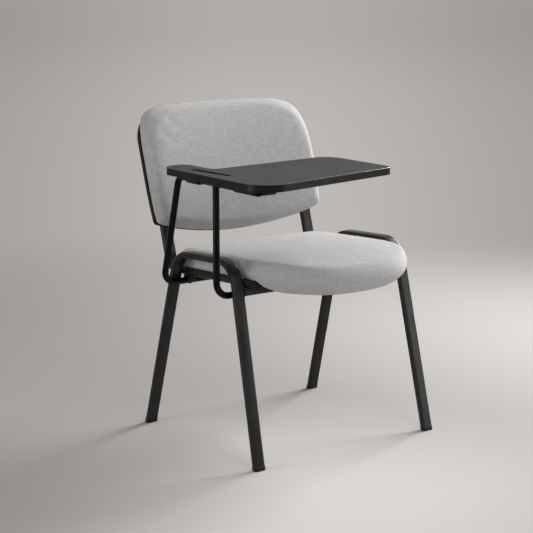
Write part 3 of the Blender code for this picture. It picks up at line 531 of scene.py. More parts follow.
def loopCorners():
    tilt = math.tan(rail["tilt"])
    front = math.tan(loop["frontRake"])
    rear = math.tan(loop["rearRake"])
    frontHigh = (loop["topZ"] - tilt * loop["frontY"]) / (1.0 + tilt * front)
    rearHigh = (loop["topZ"] - tilt * loop["rearY"]) / (1.0 - tilt * rear)
    low = loop["footHeight"]
    frontLeg = [(loop["frontY"] + front * z, z) for z in (low, frontHigh)]
    rearLeg = [(loop["rearY"] - rear * z, z) for z in (rearHigh, low)]
    return sidePoints(frontLeg + rearLeg)


def makeLoops():
    path = bentPath(loopCorners(), [loop["bend"]] * 2, tube["bendSteps"])
    for word, side in sides.items():
        place, across = loopPlace(side)
        shape = sweep([place @ p for p in path], tubeRing(), across)
        makePiece(f"{word}_loop", shape, powderCoat, f"{word}_side_loop")


# growth of the rings, with their rise along the leg or their height over the floor
footCap = {"collar": ((-0.0003, 0.0), (0.0004, -0.0001), (0.0008, -0.0006)),
           "sole": ((0.0008, 0.0012), (0.00044, 0.00036), (-0.0004, 0.0))}


def makeFootCaps():
    corners = loopCorners()
    ends = {"front": (corners[0], corners[1]), "rear": (corners[3], corners[2])}
    for word, side in sides.items():
        place, across = loopPlace(side)
        for end, (low, high) in ends.items():
            foot = place @ low
            up = (place @ high - foot).normalized()
            flat = across.cross(up).normalized()
            rings = [ringAt(foot + up * rise, tubeRing(grow), flat, across)
                     for grow, rise in footCap["collar"]]
            for grow, level in footCap["sole"]:
                spots = ringAt(foot, tubeRing(grow), flat, across)
                rings.append([p + up * ((level - p.z) / up.z) for p in spots])
            makePlug(f"{end}_{word}_cap", rings, f"{end}_{word}_foot_cap")


# growth and reach of the rings of a rail's front plug, a thin pillow as wide as the tube
railPlug = ((-0.0006, 0.0002), (0.0, 0.0008), (0.0, 0.0022), (-0.0008, 0.0030), (-0.0025, 0.0033))


def railCorners():
    tilt = math.tan(rail["tilt"])
    lean = math.tan(back["recline"])
    low = (rail["z"] - tilt * (back["y"] - lean * back["z"])) / (1.0 + tilt * lean)
    topY = back["y"] + math.sin(back["recline"]) * rail["reach"]
    topZ = back["z"] + math.cos(back["recline"]) * rail["reach"]
    front = (rail["frontY"], rail["z"] - tilt * rail["frontY"])
    return sidePoints([front, (back["y"] + lean * (low - back["z"]), low), (topY, topZ)])


def makeRails():
    path = bentPath(railCorners(), [rail["bend"]], tube["bendSteps"])
    ahead = (path[0] - path[1]).normalized()
    up = leftward.cross(ahead)
    for word, side in sides.items():
        beside = Vector((side * rail["x"], 0.0, 0.0))
        shape = sweep([p + beside for p in path], tubeRing(), leftward)
        makePiece(f"{word}_rail", shape, powderCoat, f"{word}_seat_rail_and_upright")
        front = path[0] + beside
        rings = [ringAt(front + ahead * out, tubeRing(grow), up, leftward) for grow, out in railPlug]
        makePlug(f"{word}_rail_end", rings, f"{word}_rail_plug")


crossTubes = {  # node, half height and half depth
    "front": ("front_cross_tube", 0.011, 0.00625),
    "rear": ("rear_cross_tube", tube["depth"] / 2, tube["width"] / 2),
}


def makeCrossTubes():
    deep = railTilt @ rearward
    for word, (node, halfHigh, halfDeep) in crossTubes.items():
        middle, half = boxOf(node)
        reach = Vector((half.x, 0.0, 0.0))
        ring = ringOf(halfHigh, halfDeep, tube["corner"])
        shape = sweep([middle - reach, middle, middle + reach], ring, deep)
        makePiece(f"{word}_cross", shape, powderCoat, node)


makeLoops()
makeFootCaps()
makeRails()
makeCrossTubes()
print("flat tube frame made")

# round tube arm
arm = {"radius": 0.008, "x": -0.295, "runZ": 0.6583, "footBend": 0.034, "topBend": 0.028,
       "footEnd": 0.2326, "bendSteps": 22}
hinge = Vector((arm["x"], 0.0, arm["runZ"]))
feet = {word: tuple(boxOf(f"{word}_foot_plug")[0].yz) for word in ("front", "rear")}
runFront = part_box("arm_main_tube")[0].y - chairAt.y
runRear = feet["rear"][0] - math.tan(loop["rearRake"]) * (arm["runZ"] - feet["rear"][1])
# share of the tube's radius and reach of the rings of a plug
armPlug = ((0.90, 0.0002), (1.0, 0.0005), (0.97, 0.0012), (0.82, 0.0023), (0.5, 0.0031), (0.15, 0.0033))


def makeArmTube(name, node, foot, tops, bends):  # from a foot's free end up to the run
    y, z = feet[foot]
    corners = [Vector((arm["footEnd"], y, z)), Vector((arm["x"], y, z))]
    corners += [Vector((arm["x"], top, arm["runZ"])) for top in tops]
    path = bentPath(corners, bends, arm["bendSteps"])
    makePiece(name, sweep(path, circle(arm["radius"])), shadedArmPaint, node)


def makeArmPlugs():
    spots = {"run_end": (Vector((arm["x"], runFront, arm["runZ"])), -rearward)}
    for word, (y, z) in feet.items():
        spots[f"{word}_foot"] = (Vector((arm["footEnd"], y, z)), leftward)
    for word, (spot, out) in spots.items():
        side = out.orthogonal().normalized()
        other = out.cross(side)
        rings = [ringAt(spot + out * reach, circle(arm["radius"] * share), side, other)
                 for share, reach in armPlug]
        makePlug(f"{word}_cap", rings, f"{word}_plug")


makeArmTube("arm_tube", "arm_main_tube", "rear", [runRear, runFront], [arm["footBend"], arm["topBend"]])
makeArmTube("arm_post", "arm_front_post", "front", [feet["front"][0]], [arm["footBend"]])
makeArmPlugs()
print("arm made")

# small fittings, with their edges eased as moulding and stamping leave them
easing = {"segments": 3, "angle": 35.0, "flat": math.radians(1.0)}


def joinFlats(bm):
    joinPoints(bm)
    bmesh.ops.dissolve_limit(bm, angle_limit=easing["flat"], verts=bm.verts, edges=bm.edges)


def softened(node, name, finish, width, body="chair_frame"):
    mesh = nodes[node].data.copy()
    rework(mesh, joinFlats)
    piece = addObject(name, mesh)
    easeEdges(piece, width, easing["segments"], easing["angle"])
    rubEdges(bake(piece))
    settle(piece, finish, node, body)


softened("rear_hinge_saddle", "rear_saddle", blackPlastic, 0.0007, "tablet")
softened("front_hinge_block", "front_block", blackPlastic, 0.0006, "tablet")
softened("stop_bar", "stop_arm", powderCoat, 0.0008)
softened("stop_buffer", "stop_pad", blackRubber, 0.0008)
softened("seat_pan", "under_pan", blackPlastic, 0.0010)
for end in ("front", "rear"):
    for word in sides:
        softened(f"{end}_{word}_arm_clamp", f"{end}_{word}_clamp", blackPlastic, 0.0006)
for node in ("seat_board", "back_board"):
    nodes[node].data.materials.clear()
    nodes[node].data.materials.append(rawPlywood)
print("small fittings made")

# tablet
tablet = {"thick": 0.0132, "gap": 0.0015, "overhang": 0.037, "width": 0.4375, "armWidth": 0.0725,
          "rear": 0.060, "armLength": 0.113, "length": 0.410, "frontSlant": math.radians(10.3),
          "rearSlant": math.radians(4.6), "corners": [0.038, 0.060, 0.030, 0.045, 0.018, 0.0236],
          "neck": 4, "cornerSteps": 16, "edge": 0.0014, "edgeSegments": 4, "edgeAngle": 60.0,
          "skirt": 0.0043, "wall": 0.0048, "rub": (8.0, 22.0), "rubDepth": 0.004}
groove = {"width": 0.014, "length": 0.138, "slant": math.radians(4.6), "back": 0.088, "inward": 0.032,
          "rows": ((0.0012, -0.0040), (0.0004, -0.0036), (0.0, -0.0028), (0.0, -0.0005), (0.0, 0.0040)),
          "endGap": 0.0003, "pitWide": 0.6, "pitLong": 0.52, "pitFloor": -0.005, "pitRim": -0.0003}


def tabletOutline(inset):
    outer, rear = -tablet["overhang"], tablet["rear"]
    inner = outer + tablet["width"]
    armIn = outer + tablet["armWidth"]
    neck = rear - tablet["armLength"]
    front = rear - tablet["length"]
    innerFront = front + math.tan(tablet["frontSlant"]) * tablet["width"]
    innerRear = neck + math.tan(tablet["rearSlant"]) * (inner - armIn)
    corners = flatPoints([(outer, rear), (outer, front), (inner, innerFront), (inner, innerRear),
                          (armIn, neck), (armIn, rear)])
    moved = []
    for i, corner in enumerate(corners):
        arriving = (corner - corners[i - 1]).normalized()
        leaving = (corners[(i + 1) % len(corners)] - corner).normalized()
        one, other = (Vector((-d.y, d.x, 0.0)) for d in (arriving, leaving))
        moved.append(corner + (one + other) * inset / (1.0 + one.dot(other)))
    radii = [r - inset for r in tablet["corners"]]
    radii[tablet["neck"]] += 2 * inset  # the neck is hollow
    return roundOutline(moved, radii, tablet["cornerSteps"])


def tabletSlab(name, inset, bottom, roof):
    outline = tabletOutline(inset)
    rings = [[Vector((p.x + hinge.x, p.y, z)) for p in outline] for z in (bottom, roof)]
    return newObject(name, *loft(rings))


def grooveCutter(middle, turn):  # the pen groove, with a softened floor
    rings = []
    for inset, z in groove["rows"]:  # inset from the wall, height from the tablet's top
        half = groove["width"] / 2 - inset
        ring = ringOf(half, groove["length"] / 2 - inset, half - groove["endGap"])
        rings.append([middle + turn @ Vector((a, b, z)) for a, b in ring])
    return newObject("groove_cutter", *loft(rings))


def inGroove(spot):
    beside = abs(spot.x) < groove["width"] * groove["pitWide"]
    along = abs(spot.y) < groove["length"] * groove["pitLong"]
    return beside and along and groove["pitFloor"] < spot.z < groove["pitRim"]


def makeTablet():
    under = hinge.z + arm["radius"] + tablet["gap"]
    top = under + tablet["thick"]
    low = under - tablet["skirt"]
    piece = tabletSlab("tablet_board", 0.0, low, top)
    easeEdges(piece, tablet["edge"], tablet["edgeSegments"], tablet["edgeAngle"])
    half = groove["length"] / 2
    middle = Vector((
        hinge.x - tablet["overhang"] + groove["inward"] + math.sin(groove["slant"]) * half,
        tablet["rear"] - groove["back"] - math.cos(groove["slant"]) * half,
        top,
    ))
    turn = Matrix.Rotation(groove["slant"], 4, "Z")
    hollow = tabletSlab("hollow_cutter", tablet["wall"], low - tablet["skirt"], under)
    cutters = [hollow, grooveCutter(middle, turn)]
    for cutter in cutters:
        modify(piece, "BOOLEAN", operation="DIFFERENCE", solver="EXACT", object=cutter)
    bake(piece)
    for cutter in cutters:
        bpy.data.objects.remove(cutter)
    # only the top edges are rubbed, so their lighter colour adds a painted highlight there
    rubEdges(piece, *tablet["rub"], floor=top - tablet["rubDepth"])
    unturned = turn.inverted()
    spots = [unturned @ (v.co - chairAt - middle) for v in piece.data.vertices]
    # the groove's inside is marked for its painted shade
    mark(piece, "pit", [1.0 if inGroove(spot) else 0.0 for spot in spots])
    settle(piece, tabletPlastic, "tablet_top", "tablet", sharp=50.0)
    modify(piece, "WEIGHTED_NORMAL", keep_sharp=True)


makeTablet()
print("tablet made")

# seat and back, soft over boards
seat = {"half": 0.23013, "frontY": -0.315, "rearY": 0.176, "frontCorner": 0.135, "rearCorner": 0.038,
        "bow": 0.040, "drop": 0.024, "dropStart": -0.170, "lip": 0.031, "lipStart": 0.50,
        "lipFull": 0.68, "lipInset": 0.042, "lipSide": 0.040, "railEnd": -0.163, "edge": 0.0433,
        "crown": 0.016, "footInset": 0.006, "topInset": 0.020, "base": 0.0078, "held": 0.010,
        "heldFade": 0.008, "rows": (-0.93, -0.76, -0.55, -0.2, 0.2, 0.6, 0.9), "fold": 0.00012,
        "grow": 0.0004}
pan = {"half": 0.2085, "frontY": -0.154, "rearY": 0.153, "below": 0.012, "tuck": 0.0045}
edgeRows = [math.sin(math.pi * (i / 8 - 0.5)) for i in range(1, 8)]
rest = {"half": 0.2568, "low": 0.010, "high": 0.302, "radius": 1.6, "sweep": 0.016, "sweepStart": 0.130,
        "widest": 0.140, "narrowing": 0.006, "topBow": 0.0085, "lowBow": 0.035, "topCorner": 0.071,
        "frontCorner": 0.115, "lowCorner": 0.008, "thick": 0.038, "crown": 0.006, "edgeInset": 0.016,
        "rear": 0.00375, "held": 0.008, "heldFade": 0.006, "rows": edgeRows,
        "fold": 0.00025, "grow": 0.0007}
cover = {"voxel": 0.005, "shrink": 0.0025, "steps": 20, "leastHeld": 0.02, "cap": 0.0022, "taut": 90,
         "foldBase": 25, "foldSoft": 4}
fabric = {"quality": 6, "mass": 0.3, "tension_stiffness": 15.0, "compression_stiffness": 15.0,
          "bending_stiffness": 2.0, "air_damping": 2.0, "use_pressure": True,
          "uniform_pressure_force": 4.0, "vertex_group_mass": "held"}
seatPlace = Matrix.Translation((0.0, 0.0, rail["z"])) @ railTilt.to_4x4()
backTurn = Matrix.Rotation(math.pi / 2 - back["recline"], 4, "X")
backPlace = Matrix.Translation((0.0, back["y"], back["z"])) @ backTurn
growShare = 1 / 8  # smoothing draws the middle row in by this share of the insets round it


def cage(rows):  # a box of cells, two cells thick
    bm = bmesh.new()
    bmesh.ops.create_cube(bm, size=2.0)
    for axis, stations in enumerate((edgeRows, rows, (0.0,))):
        normal = Vector([1.0 if i == axis else 0.0 for i in range(3)])
        for station in stations:
            geom = bm.verts[:] + bm.edges[:] + bm.faces[:]
            bmesh.ops.bisect_plane(bm, geom=geom, dist=1e-6, plane_co=normal * station, plane_no=normal)
    return bm


def roundPlan(across, along, halfAcross, halfAlong, radius):
    a = abs(across) * halfAcross - (halfAcross - radius)
    b = abs(along) * halfAlong - (halfAlong - radius)
    if a <= 0.0 or b <= 0.0:
        return across * halfAcross, along * halfAlong
    newA = halfAcross - radius + a * math.sqrt(1.0 - b * b / (2.0 * radius * radius))
    newB = halfAlong - radius + b * math.sqrt(1.0 - a * a / (2.0 * radius * radius))
    return math.copysign(newA, across), math.copysign(newB, along)


def seatPoint(s, t, u):
    foot = seat["footInset"]
    grow = (foot + seat["topInset"]) * growShare
    half = seat["half"] + grow
    front = seat["frontY"] + seat["bow"] - grow
    rear = seat["rearY"] + grow
    length = (rear - front) / 2
    x, y = roundPlan(s, t, half, length, seat["frontCorner"] if t < 0.0 else seat["rearCorner"])
    rise = min(1.0, max(0.0, (-t - seat["lipStart"]) / (seat["lipFull"] - seat["lipStart"])))
    inset = beside = seat["topInset"] if u > 0.5 else 0.0
    if u < -0.5:
        inset = foot + (seat["lipInset"] - foot) * rise
        beside = foot + (seat["lipSide"] - foot) * rise
    x *= 1.0 - beside / half
    y = y * (1.0 - inset / length) + (rear + front) / 2
    y -= seat["bow"] * max(0.0, -t) * (1.0 - s * s)
    lift = (u + 1.0) / 2
    z = seat["base"] + lift * seat["edge"]
    if u > 0.5:
        z += seat["crown"] * (1.0 - s * s) * (1.0 - t * t)
    past = max(0.0, seat["dropStart"] - y) / (seat["dropStart"] - seat["frontY"])
    z -= seat["drop"] * past * past + (1.0 - lift) * seat["lip"] * rise
    return Vector((x, y, z))


def backCurve(x, height):  # round the sitter, and swept back towards the top
    swept = np.maximum(0.0, (height - rest["sweepStart"]) / (rest["high"] - rest["sweepStart"]))
    return (rail["x"] ** 2 - x ** 2) / (2.0 * rest["radius"]) + rest["sweep"] * swept ** 2


def backBent(x, height, front):  # narrowed, bowed and curved
    up = (height - rest["low"]) / (rest["high"] - rest["low"])
    away = (height - rest["widest"]) / (rest["widest"] - rest["low"])
    x *= 1.0 - rest["narrowing"] / rest["half"] * away * away
    height += (rest["topBow"] * up - rest["lowBow"] * (1.0 - up)) * (1.0 - (x / rest["half"]) ** 2)
    return Vector((x, height, front - backCurve(x, height)))


def backPoint(s, t, u):
    grow = rest["edgeInset"] * growShare
    low = rest["low"] - grow
    high = rest["high"] + grow
    length = (high - low) / 2
    half = rest["half"] + grow
    corner = rest["lowCorner"]
    if t > 0.0:
        corner = rest["topCorner"] + max(u, 0.0) * (rest["frontCorner"] - rest["topCorner"])
    x, y = roundPlan(s, t, half, length, corner)
    inset = rest["edgeInset"] if u > 0.5 else 0.0
    x *= 1.0 - inset / half
    y = y * (1.0 - inset / length) + (low + high) / 2
    z = rest["rear"] + (u + 1.0) / 2 * rest["thick"]
    if u > 0.5:
        z += rest["crown"] * (1.0 - s * s) * (1.0 - t * t)
    return backBent(x, y, z)


def meshArrays(mesh):
    points = np.zeros(len(mesh.vertices) * 3)
    mesh.vertices.foreach_get("co", points)
    normals = np.zeros(len(mesh.vertices) * 3)
    mesh.vertices.foreach_get("normal", normals)
    return points.reshape(-1, 3), normals.reshape(-1, 3)


def movePoints(mesh, points):
    mesh.vertices.foreach_set("co", points.ravel())
    mesh.update()


def smoothBody(name, rows, shape, place):  # a cushion's foam, smooth and evenly meshed
    bm = cage(rows)
    for v in bm.verts:
        v.co = place @ shape(*v.co) + chairAt
    mesh = bpy.data.meshes.new(name)
    bm.to_mesh(mesh)
    bm.free()
    piece = subdivide(addObject(name, mesh), 3)
    modify(piece, "REMESH", mode="VOXEL", voxel_size=cover["voxel"])
    return bake(piece)


def evened(mesh, values, rounds):  # averages a value over neighbouring points
    pairs = np.zeros(len(mesh.edges) * 2, dtype=np.int32)
    mesh.edges.foreach_get("vertices", pairs)
    one, other = pairs[0::2], pairs[1::2]
    size = len(values)
    count = np.bincount(one, minlength=size) + np.bincount(other, minlength=size)
    for _ in range(rounds):
        total = np.bincount(one, values[other], size) + np.bincount(other, values[one], size)
        values = 0.5 * values + 0.5 * total / np.maximum(count, 1)
    return values


def blowUp(piece, keep):  # runs the cloth and gives back its points
    group = piece.vertex_groups.new(name="held")
    for i in np.nonzero(keep > cover["leastHeld"])[0]:
        group.add([int(i)], float(keep[i]), "REPLACE")
    cloth = modify(piece, "CLOTH")
    assign(cloth.settings, **fabric)
    cloth.settings.effector_weights.gravity = 0.0
    cloth.point_cache.frame_start = 1
    cloth.point_cache.frame_end = cover["steps"]
    for step in range(1, cover["steps"] + 1):
        scene.frame_set(step)
    graph = bpy.context.evaluated_depsgraph_get()
    blown, _ = meshArrays(piece.evaluated_get(graph).data)
    piece.modifiers.clear()
    piece.vertex_groups.clear()
    scene.frame_set(1)
    return blown


def puffUp(piece, sizes, held):  # a cover of cloth, blown up over a slightly smaller foam
    mesh = piece.data
    points, normals = meshArrays(mesh)
    keep = held(points)  # 1 where the cover is stapled down
    movePoints(mesh, points - normals * (cover["shrink"] * (1.0 - keep))[:, None])
    blown = blowUp(piece, keep)
    # the taut cover keeps the swelling and little of its folds
    lift = np.einsum("ij,ij->i", blown - points, normals) * (1.0 - keep)
    swell = evened(mesh, np.clip(lift, 0.0, cover["cap"]), cover["taut"])
    fold = evened(mesh, lift - evened(mesh, lift, cover["foldBase"]), cover["foldSoft"])
    rise = (swell + sizes["grow"]) * (1.0 - keep) + np.clip(fold, -sizes["fold"], sizes["fold"])
    print(piece.name, "swells by up to", round(float(rise.max() * 1000), 1), "mm")
    movePoints(mesh, points + normals * rise[:, None])


def ownPoints(points, place):  # points in a cushion's own coordinates
    inward = np.linalg.inv(np.array(Matrix.Translation(chairAt) @ place))
    return points @ inward[:3, :3].T + inward[:3, 3]


def heldBelow(sizes, start, depth):
    return np.clip((start + sizes["held"] - depth) / sizes["heldFade"], 0.0, 1.0)


def seatHeld(points):  # the cover is stapled under the seat, round the pan
    return heldBelow(seat, seat["base"], ownPoints(points, seatPlace)[:, 2])


def backHeld(points):  # the cover is stapled behind the back, inside the shell's rim
    x, height, front = ownPoints(points, backPlace).T
    return heldBelow(rest, rest["rear"], front + backCurve(x, height))


def tuckUnder(piece):  # the seat cover's edge turns up under the pan
    there = np.array(Matrix.Translation(chairAt) @ seatPlace)
    local = ownPoints(meshArrays(piece.data)[0], seatPlace)
    x, y, z = local.T
    inside = (np.abs(x) < pan["half"]) & (y > pan["frontY"]) & (y < pan["rearY"]) & (z < pan["below"])
    z[inside] = np.maximum(z[inside], seat["base"] + pan["tuck"])
    carried = y > seat["railEnd"]  # the lip hangs only in front of the rails
    z[carried] = np.maximum(z[carried], seat["base"])
    movePoints(piece.data, local @ there[:3, :3].T + there[:3, 3])


def makeCushion(word, sizes, shape, place, held):
    piece = smoothBody(f"{word}_pad", sizes["rows"], shape, place)
    puffUp(piece, sizes, held)
    if word == "seat":
        tuckUnder(piece)
    subdivide(piece, 1)
    settle(piece, greyCloth, f"{word}_cushion", sharp=180.0)


shell = {"rim": 0.00315, "back": -0.01235, "drop": 0.012, "round": 0.008, "wall": 0.0022, "lap": 0.006,
         "soft": 0.0006, "cornerSteps": 14, "longEdge": 0.05, "longParts": 24, "turnRows": 6,
         "faceRows": 12, "faceSpan": 12.5}


def shellOutline(inset):
    half = rest["half"] - inset
    low = rest["low"] + inset
    high = rest["high"] - shell["drop"] - inset
    tight = max(rest["lowCorner"] - inset, shell["wall"])
    large = rest["topCorner"] - inset
    corners = flatPoints([(-half, low), (half, low), (half, high), (-half, high)])
    points = roundOutline(corners, [tight, tight, large, large], shell["cornerSteps"])
    # long edges are split so that they can bend
    return splitEdges(points, lambda length: shell["longParts"] if length > shell["longEdge"] else 1)


def makeShell():  # its rim stays open towards the pad
    wall, rim, soft, turn = (shell[word] for word in ("wall", "rim", "soft", "round"))
    rows = [(wall, rim - shell["lap"]), (wall, rim - soft), (wall - soft, rim), (soft, rim),
            (0.0, rim - soft), (0.0, shell["back"] + turn)]
    for k in range(1, shell["turnRows"] + 1):
        angle = math.pi / 2 * k / shell["turnRows"]
        rows.append((turn * (1.0 - math.cos(angle)), shell["back"] + turn * (1.0 - math.sin(angle))))
    rings = [[Vector((p.x, p.y, depth)) for p in shellOutline(inset)] for inset, depth in rows]
    middle = Vector((0.0, (rest["low"] + rest["high"] - shell["drop"]) / 2, shell["back"]))
    edge = rings[-1]
    for k in range(1, shell["faceRows"] + 1):  # the plain rear face, in ever smaller rings
        rings.append([middle.lerp(p, 1.0 - k / shell["faceSpan"]) for p in edge])
    rings = [[backPlace @ backBent(*p) for p in ring] for ring in rings]
    shape = loft(rings, shutStart=False)
    makePiece("back_cover", shape, blackPlastic, "back_shell", sharp=50.0)


makeCushion("seat", seat, seatPoint, seatPlace, seatHeld)
makeCushion("back", rest, backPoint, backPlace, backHeld)
makeShell()
print("seat and back made")

# button screws with a hexagon socket, and the painted weld beads
screw = {"radius": 0.0042, "height": 0.0022, "socket": 0.0018, "deep": 0.0013, "sink": 0.0003,
         "taper": 0.97, "points": 24, "rub": (10.0, 50.0),
         "head": ((0.97, -0.05), (1.0, 0.12), (0.97, 0.42), (0.86, 0.72), (0.70, 0.92), (0.56, 1.0))}
hingeScrews = {"flange": 0.0030, "fromEnd": 0.013, "lowest": 0.0014,
               "saddle": ("rear_hinge_saddle", ((-0.0195, False), (0.0195, False))),
               "block": ("front_hinge_block", ((-0.0182, False), (0.0350, True)))}
seatBoltX = 0.128
shellScrews = {"heights": (0.058, 0.118), "inward": 0.96, "step": 0.004}
weld = {"bead": 0.0013, "ripple": 0.00025, "wave": 1.9, "sides": 10, "step": 0.0012,
        "turns": 72, "cornerSteps": 9}


def hexagon(size):
    ring = []
    for i in range(screw["points"]):
        turn = 2 * math.pi * i / screw["points"]
        reach = size * math.cos(math.pi / 6) / math.cos(turn % (math.pi / 3) - math.pi / 6)
        ring.append((reach * math.cos(turn), reach * math.sin(turn)))
    return ring


def makeScrew(name, spot, out, body="chair_frame"):
    out = out.normalized()
    side = out.orthogonal().normalized()
    other = out.cross(side)
    radius, height, socket = screw["radius"], screw["height"], screw["socket"]
    rows = [(circle(radius * share, screw["points"]), height * level) for share, level in screw["head"]]
    rows += [(hexagon(socket), height), (hexagon(socket * screw["taper"]), height - screw["deep"])]
    rings = [ringAt(spot + out * (z - screw["sink"]), ring, side, other) for ring, z in rows]
    piece = newObject(name, *loft(rings))
    rubEdges(piece, *screw["rub"])
    settle(piece, blackScrew, body=body, sharp=45.0)


def makeHingeScrews():
    for word in ("saddle", "block"):
        node, lines = hingeScrews[word]
        low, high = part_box(node)
        ends = (low.y + hingeScrews["fromEnd"], high.y - hingeScrews["fromEnd"])
        for i, (across, deep) in enumerate(lines):
            # a head sits under the flange, or a little above the lowest face
            z = low.z + hingeScrews["lowest"] if deep else high.z - hingeScrews["flange"]
            for k, y in enumerate(ends):
                spot = Vector((hinge.x + across, y - chairAt.y, z))
                makeScrew(f"{word}_screw_{i}{k}", spot, downward, "tablet")


def makeFrameScrews():
    down = railTilt @ downward
    for word, (node, halfHigh, _) in crossTubes.items():
        under = boxOf(node)[0] + down * halfHigh
        y, z = feet[word]
        for hand, side in sides.items():
            makeScrew(f"{word}_{hand}_seat_bolt", under + leftward * side * seatBoltX, down)
            spot = Vector((side * rail["x"], y, z - arm["radius"]))
            makeScrew(f"{word}_{hand}_foot_bolt", spot, downward)


def makeShellScrews():
    step = shellScrews["step"]
    for hand, side in sides.items():
        x = side * rail["x"] * shellScrews["inward"]
        for k, height in enumerate(shellScrews["heights"]):
            spots = [backPlace @ backBent(x + dx, height + dh, shell["back"]) for dx, dh in
                     ((0.0, 0.0), (step, 0.0), (-step, 0.0), (0.0, step), (0.0, -step))]
            along, upward = spots[1] - spots[2], spots[3] - spots[4]
            makeScrew(f"{hand}_back_screw_{k}", spots[0], upward.cross(along))


def makeBead(name, points, middle):  # a closed, slightly rippled bead of paint-covered weld
    count = len(points)
    rings = []
    for i, p in enumerate(points):
        ahead = (points[(i + 1) % count] - points[i - 1]).normalized()
        out = (p - middle - ahead * (p - middle).dot(ahead)).normalized()
        size = weld["bead"] + weld["ripple"] * math.sin(i * weld["wave"])
        rings.append(ringAt(p, circle(size, weld["sides"]), out, ahead.cross(out)))
    piece = newObject(name, *loft(rings + [rings[0]], False, False))
    rework(piece.data, joinPoints)
    settle(piece, powderCoat, sharp=80.0)


def makeWelds():
    top = Vector((arm["x"], feet["front"][0], arm["runZ"]))
    points = [top + Vector((x, y, -abs(y))) for x, y in circle(arm["radius"], weld["turns"])]
    makeBead("arm_weld", points, top + downward * (arm["radius"] / 2))
    deep = railTilt @ rearward
    flat = deep.cross(leftward)
    for word, (node, halfHigh, halfDeep) in crossTubes.items():
        middle, half = boxOf(node)
        ring = ringOf(halfHigh, halfDeep, tube["corner"], weld["cornerSteps"])
        for hand, side in sides.items():
            end = middle + leftward * side * (half.x - weld["bead"] / 2)
            spots = ringAt(end, ring, flat, deep)
            points = splitEdges(spots, lambda length: max(1, round(length / weld["step"])))
            makeBead(f"{word}_{hand}_weld", points, end)


makeHingeScrews()
makeFrameScrews()
makeShellScrews()
makeWelds()
print("screws and welds made")

# floor, light and air
# the floor carries a painted pool of light in front of the chair
studio = {"floor": (0.375, 0.361, 0.350), "rough": 0.85, "gloss": 0.1, "cloud": 0.8, "shade": 0.98,
          "paintedPool": (-0.33, -0.48, 0.0), "poolEdge": (0.95, 0.05), "paintedLight": (0.620, 0.600, 0.583),
          "near": (0.520, 0.494, 0.470), "far": (0.440, 0.415, 0.394), "nearToFar": (5.0, 24.0),
          "side": 0.74, "fan": (0.0, 0.22), "horizon": (28.0, 76.0), "paper": (0.8, 3.0),
          "air": (0.075, 0.074, 0.072), "dome": (0.300, 0.297, 0.294), "overhead": (0.45, 0.85),
          "half": 80.0, "stand": 3.70, "closest": 2.0}
lamp = {"colour": (1.0, 0.992, 0.985), "aim": (0.0, 0.0, 0.45)}
lights = {  # place, width, height and power; the left box is the main light
    "left_box": ((2.60, 0.25, 1.85), 1.4, 1.4, 142.0),
    "front_box": ((-0.30, -2.60, 1.90), 1.6, 1.6, 24.0),
    "low_box": ((1.96, -2.115, 1.277), 1.6, 1.6, 6.0),
    "right_box": ((-2.83, 0.36, 1.38), 2.6, 2.6, 14.0),
    "side_strip": ((-1.98, 0.25, 0.62), 0.5, 1.1, 9.0),
    "low_strip": ((1.36, -1.466, 0.62), 0.5, 1.1, 5.0),
    "rear_box": ((1.39, 1.83, 2.38), 2.4, 2.4, 3.0),
}


def seenRay(tree):  # seen by the camera, straight or in gloss and glass
    rays = put(tree, "ShaderNodeLightPath").outputs
    mirrored = calc(tree, "MAXIMUM", rays["Is Glossy Ray"], rays["Is Transmission Ray"])
    return calc(tree, "MAXIMUM", rays["Is Camera Ray"], mirrored)


def blended(tree, share, one, other, output):
    feeds = {0: share, 1: one.outputs[0], 2: other.outputs[0]}
    blend = put(tree, "ShaderNodeMixShader", feeds).outputs[0]
    feed(tree, tree.nodes[output], {"Surface": blend})


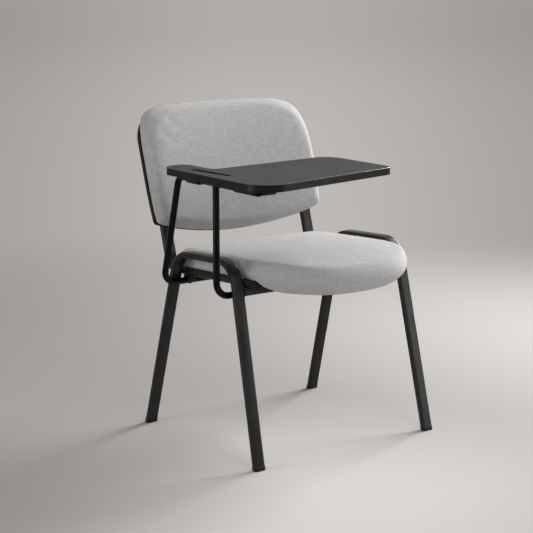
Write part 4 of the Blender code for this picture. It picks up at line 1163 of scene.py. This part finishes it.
def backdropTone(tree, where, away):  # far from the chair, a glowing backdrop tone: painted light nearer the camera, painted shade far off and towards the sides
    turn = math.radians(photo["turn"])
    ahead = (math.sin(turn), math.cos(turn), 0.0)
    right = (math.cos(turn), -math.sin(turn), 0.0)
    along = vectorCalc(tree, "DOT_PRODUCT", where, ahead)["Value"]
    beside = vectorCalc(tree, "DOT_PRODUCT", where, right)["Value"]
    depth = calc(tree, "MAXIMUM", calc(tree, "ADD", along, studio["stand"]), studio["closest"])
    fan = calc(tree, "ABSOLUTE", calc(tree, "DIVIDE", beside, depth), 0.0)
    # painted light: the tone is lighter nearer the camera and darker far off
    reach = ramp(tree, depth, *studio["nearToFar"])
    tone = mixed(tree, reach, studio["near"], studio["far"])
    # painted shade darkens the backdrop towards the sides
    sideShade = span(tree, ramp(tree, fan, *studio["fan"]), 1.0, studio["side"])
    sideShade = span(tree, ramp(tree, away, *studio["horizon"]), sideShade, 1.0)  # meets the wall in one tone
    return scaled(tree, tone, sideShade)


def makeFloor():
    half = studio["half"]
    corners = flatPoints([(-half, -half), (half, -half), (half, half), (-half, half)])
    floor = newObject("floor", corners, [(0, 1, 2, 3)])
    made, tree, shader = newFinish("pale_floor")
    where = put(tree, "ShaderNodeTexCoord").outputs["Object"]
    cloud = noise(tree, where, studio["cloud"], detail=3.0)["Fac"]
    shade = [value * studio["shade"] for value in studio["floor"]]
    plain = mixed(tree, cloud, shade, studio["floor"])
    ahead = vectorCalc(tree, "DISTANCE", where, studio["paintedPool"])["Value"]
    paintedPool = ramp(tree, ahead, *studio["poolEdge"])  # a painted pool of light, lighter in front of the chair
    feed(tree, shader, {"Base Color": mixed(tree, paintedPool, plain, studio["paintedLight"]),
                        "Roughness": studio["rough"], "Specular IOR Level": studio["gloss"]})
    away = vectorCalc(tree, "LENGTH", where)["Value"]
    paper = put(tree, "ShaderNodeEmission", {"Color": backdropTone(tree, where, away)})
    share = times(tree, ramp(tree, away, *studio["paper"]), seenRay(tree))
    blended(tree, share, shader, paper, "Material Output")
    floor.data.materials.append(made)


def makeAir():  # a faint glow, stronger overhead, and a plain wall where the camera looks past the floor
    air = bpy.data.worlds.new("studio_air")
    air.use_nodes = True
    tree = air.node_tree
    light = tree.nodes["Background"]
    skyward = parted(tree, put(tree, "ShaderNodeTexCoord").outputs["Generated"])["Z"]
    overhead = ramp(tree, skyward, *studio["overhead"])
    glow = mixed(tree, overhead, studio["air"], studio["dome"])
    feed(tree, light, {"Color": glow})
    wall = put(tree, "ShaderNodeBackground", {"Color": studio["far"]})
    blended(tree, seenRay(tree), light, wall, "World Output")
    scene.world = air


def softBox(name, place, width, height, power):
    light = bpy.data.lights.new(name, "AREA")
    assign(light, shape="RECTANGLE", size=width, size_y=height, energy=power, color=lamp["colour"])
    made = assign(addObject(name, light), visible_camera=False, location=place)
    made.rotation_euler = (Vector(lamp["aim"]) - made.location).to_track_quat("-Z", "Y").to_euler()


makeFloor()
makeAir()
for name, sizes in lights.items():
    softBox(name, *sizes)
print("stage lit")
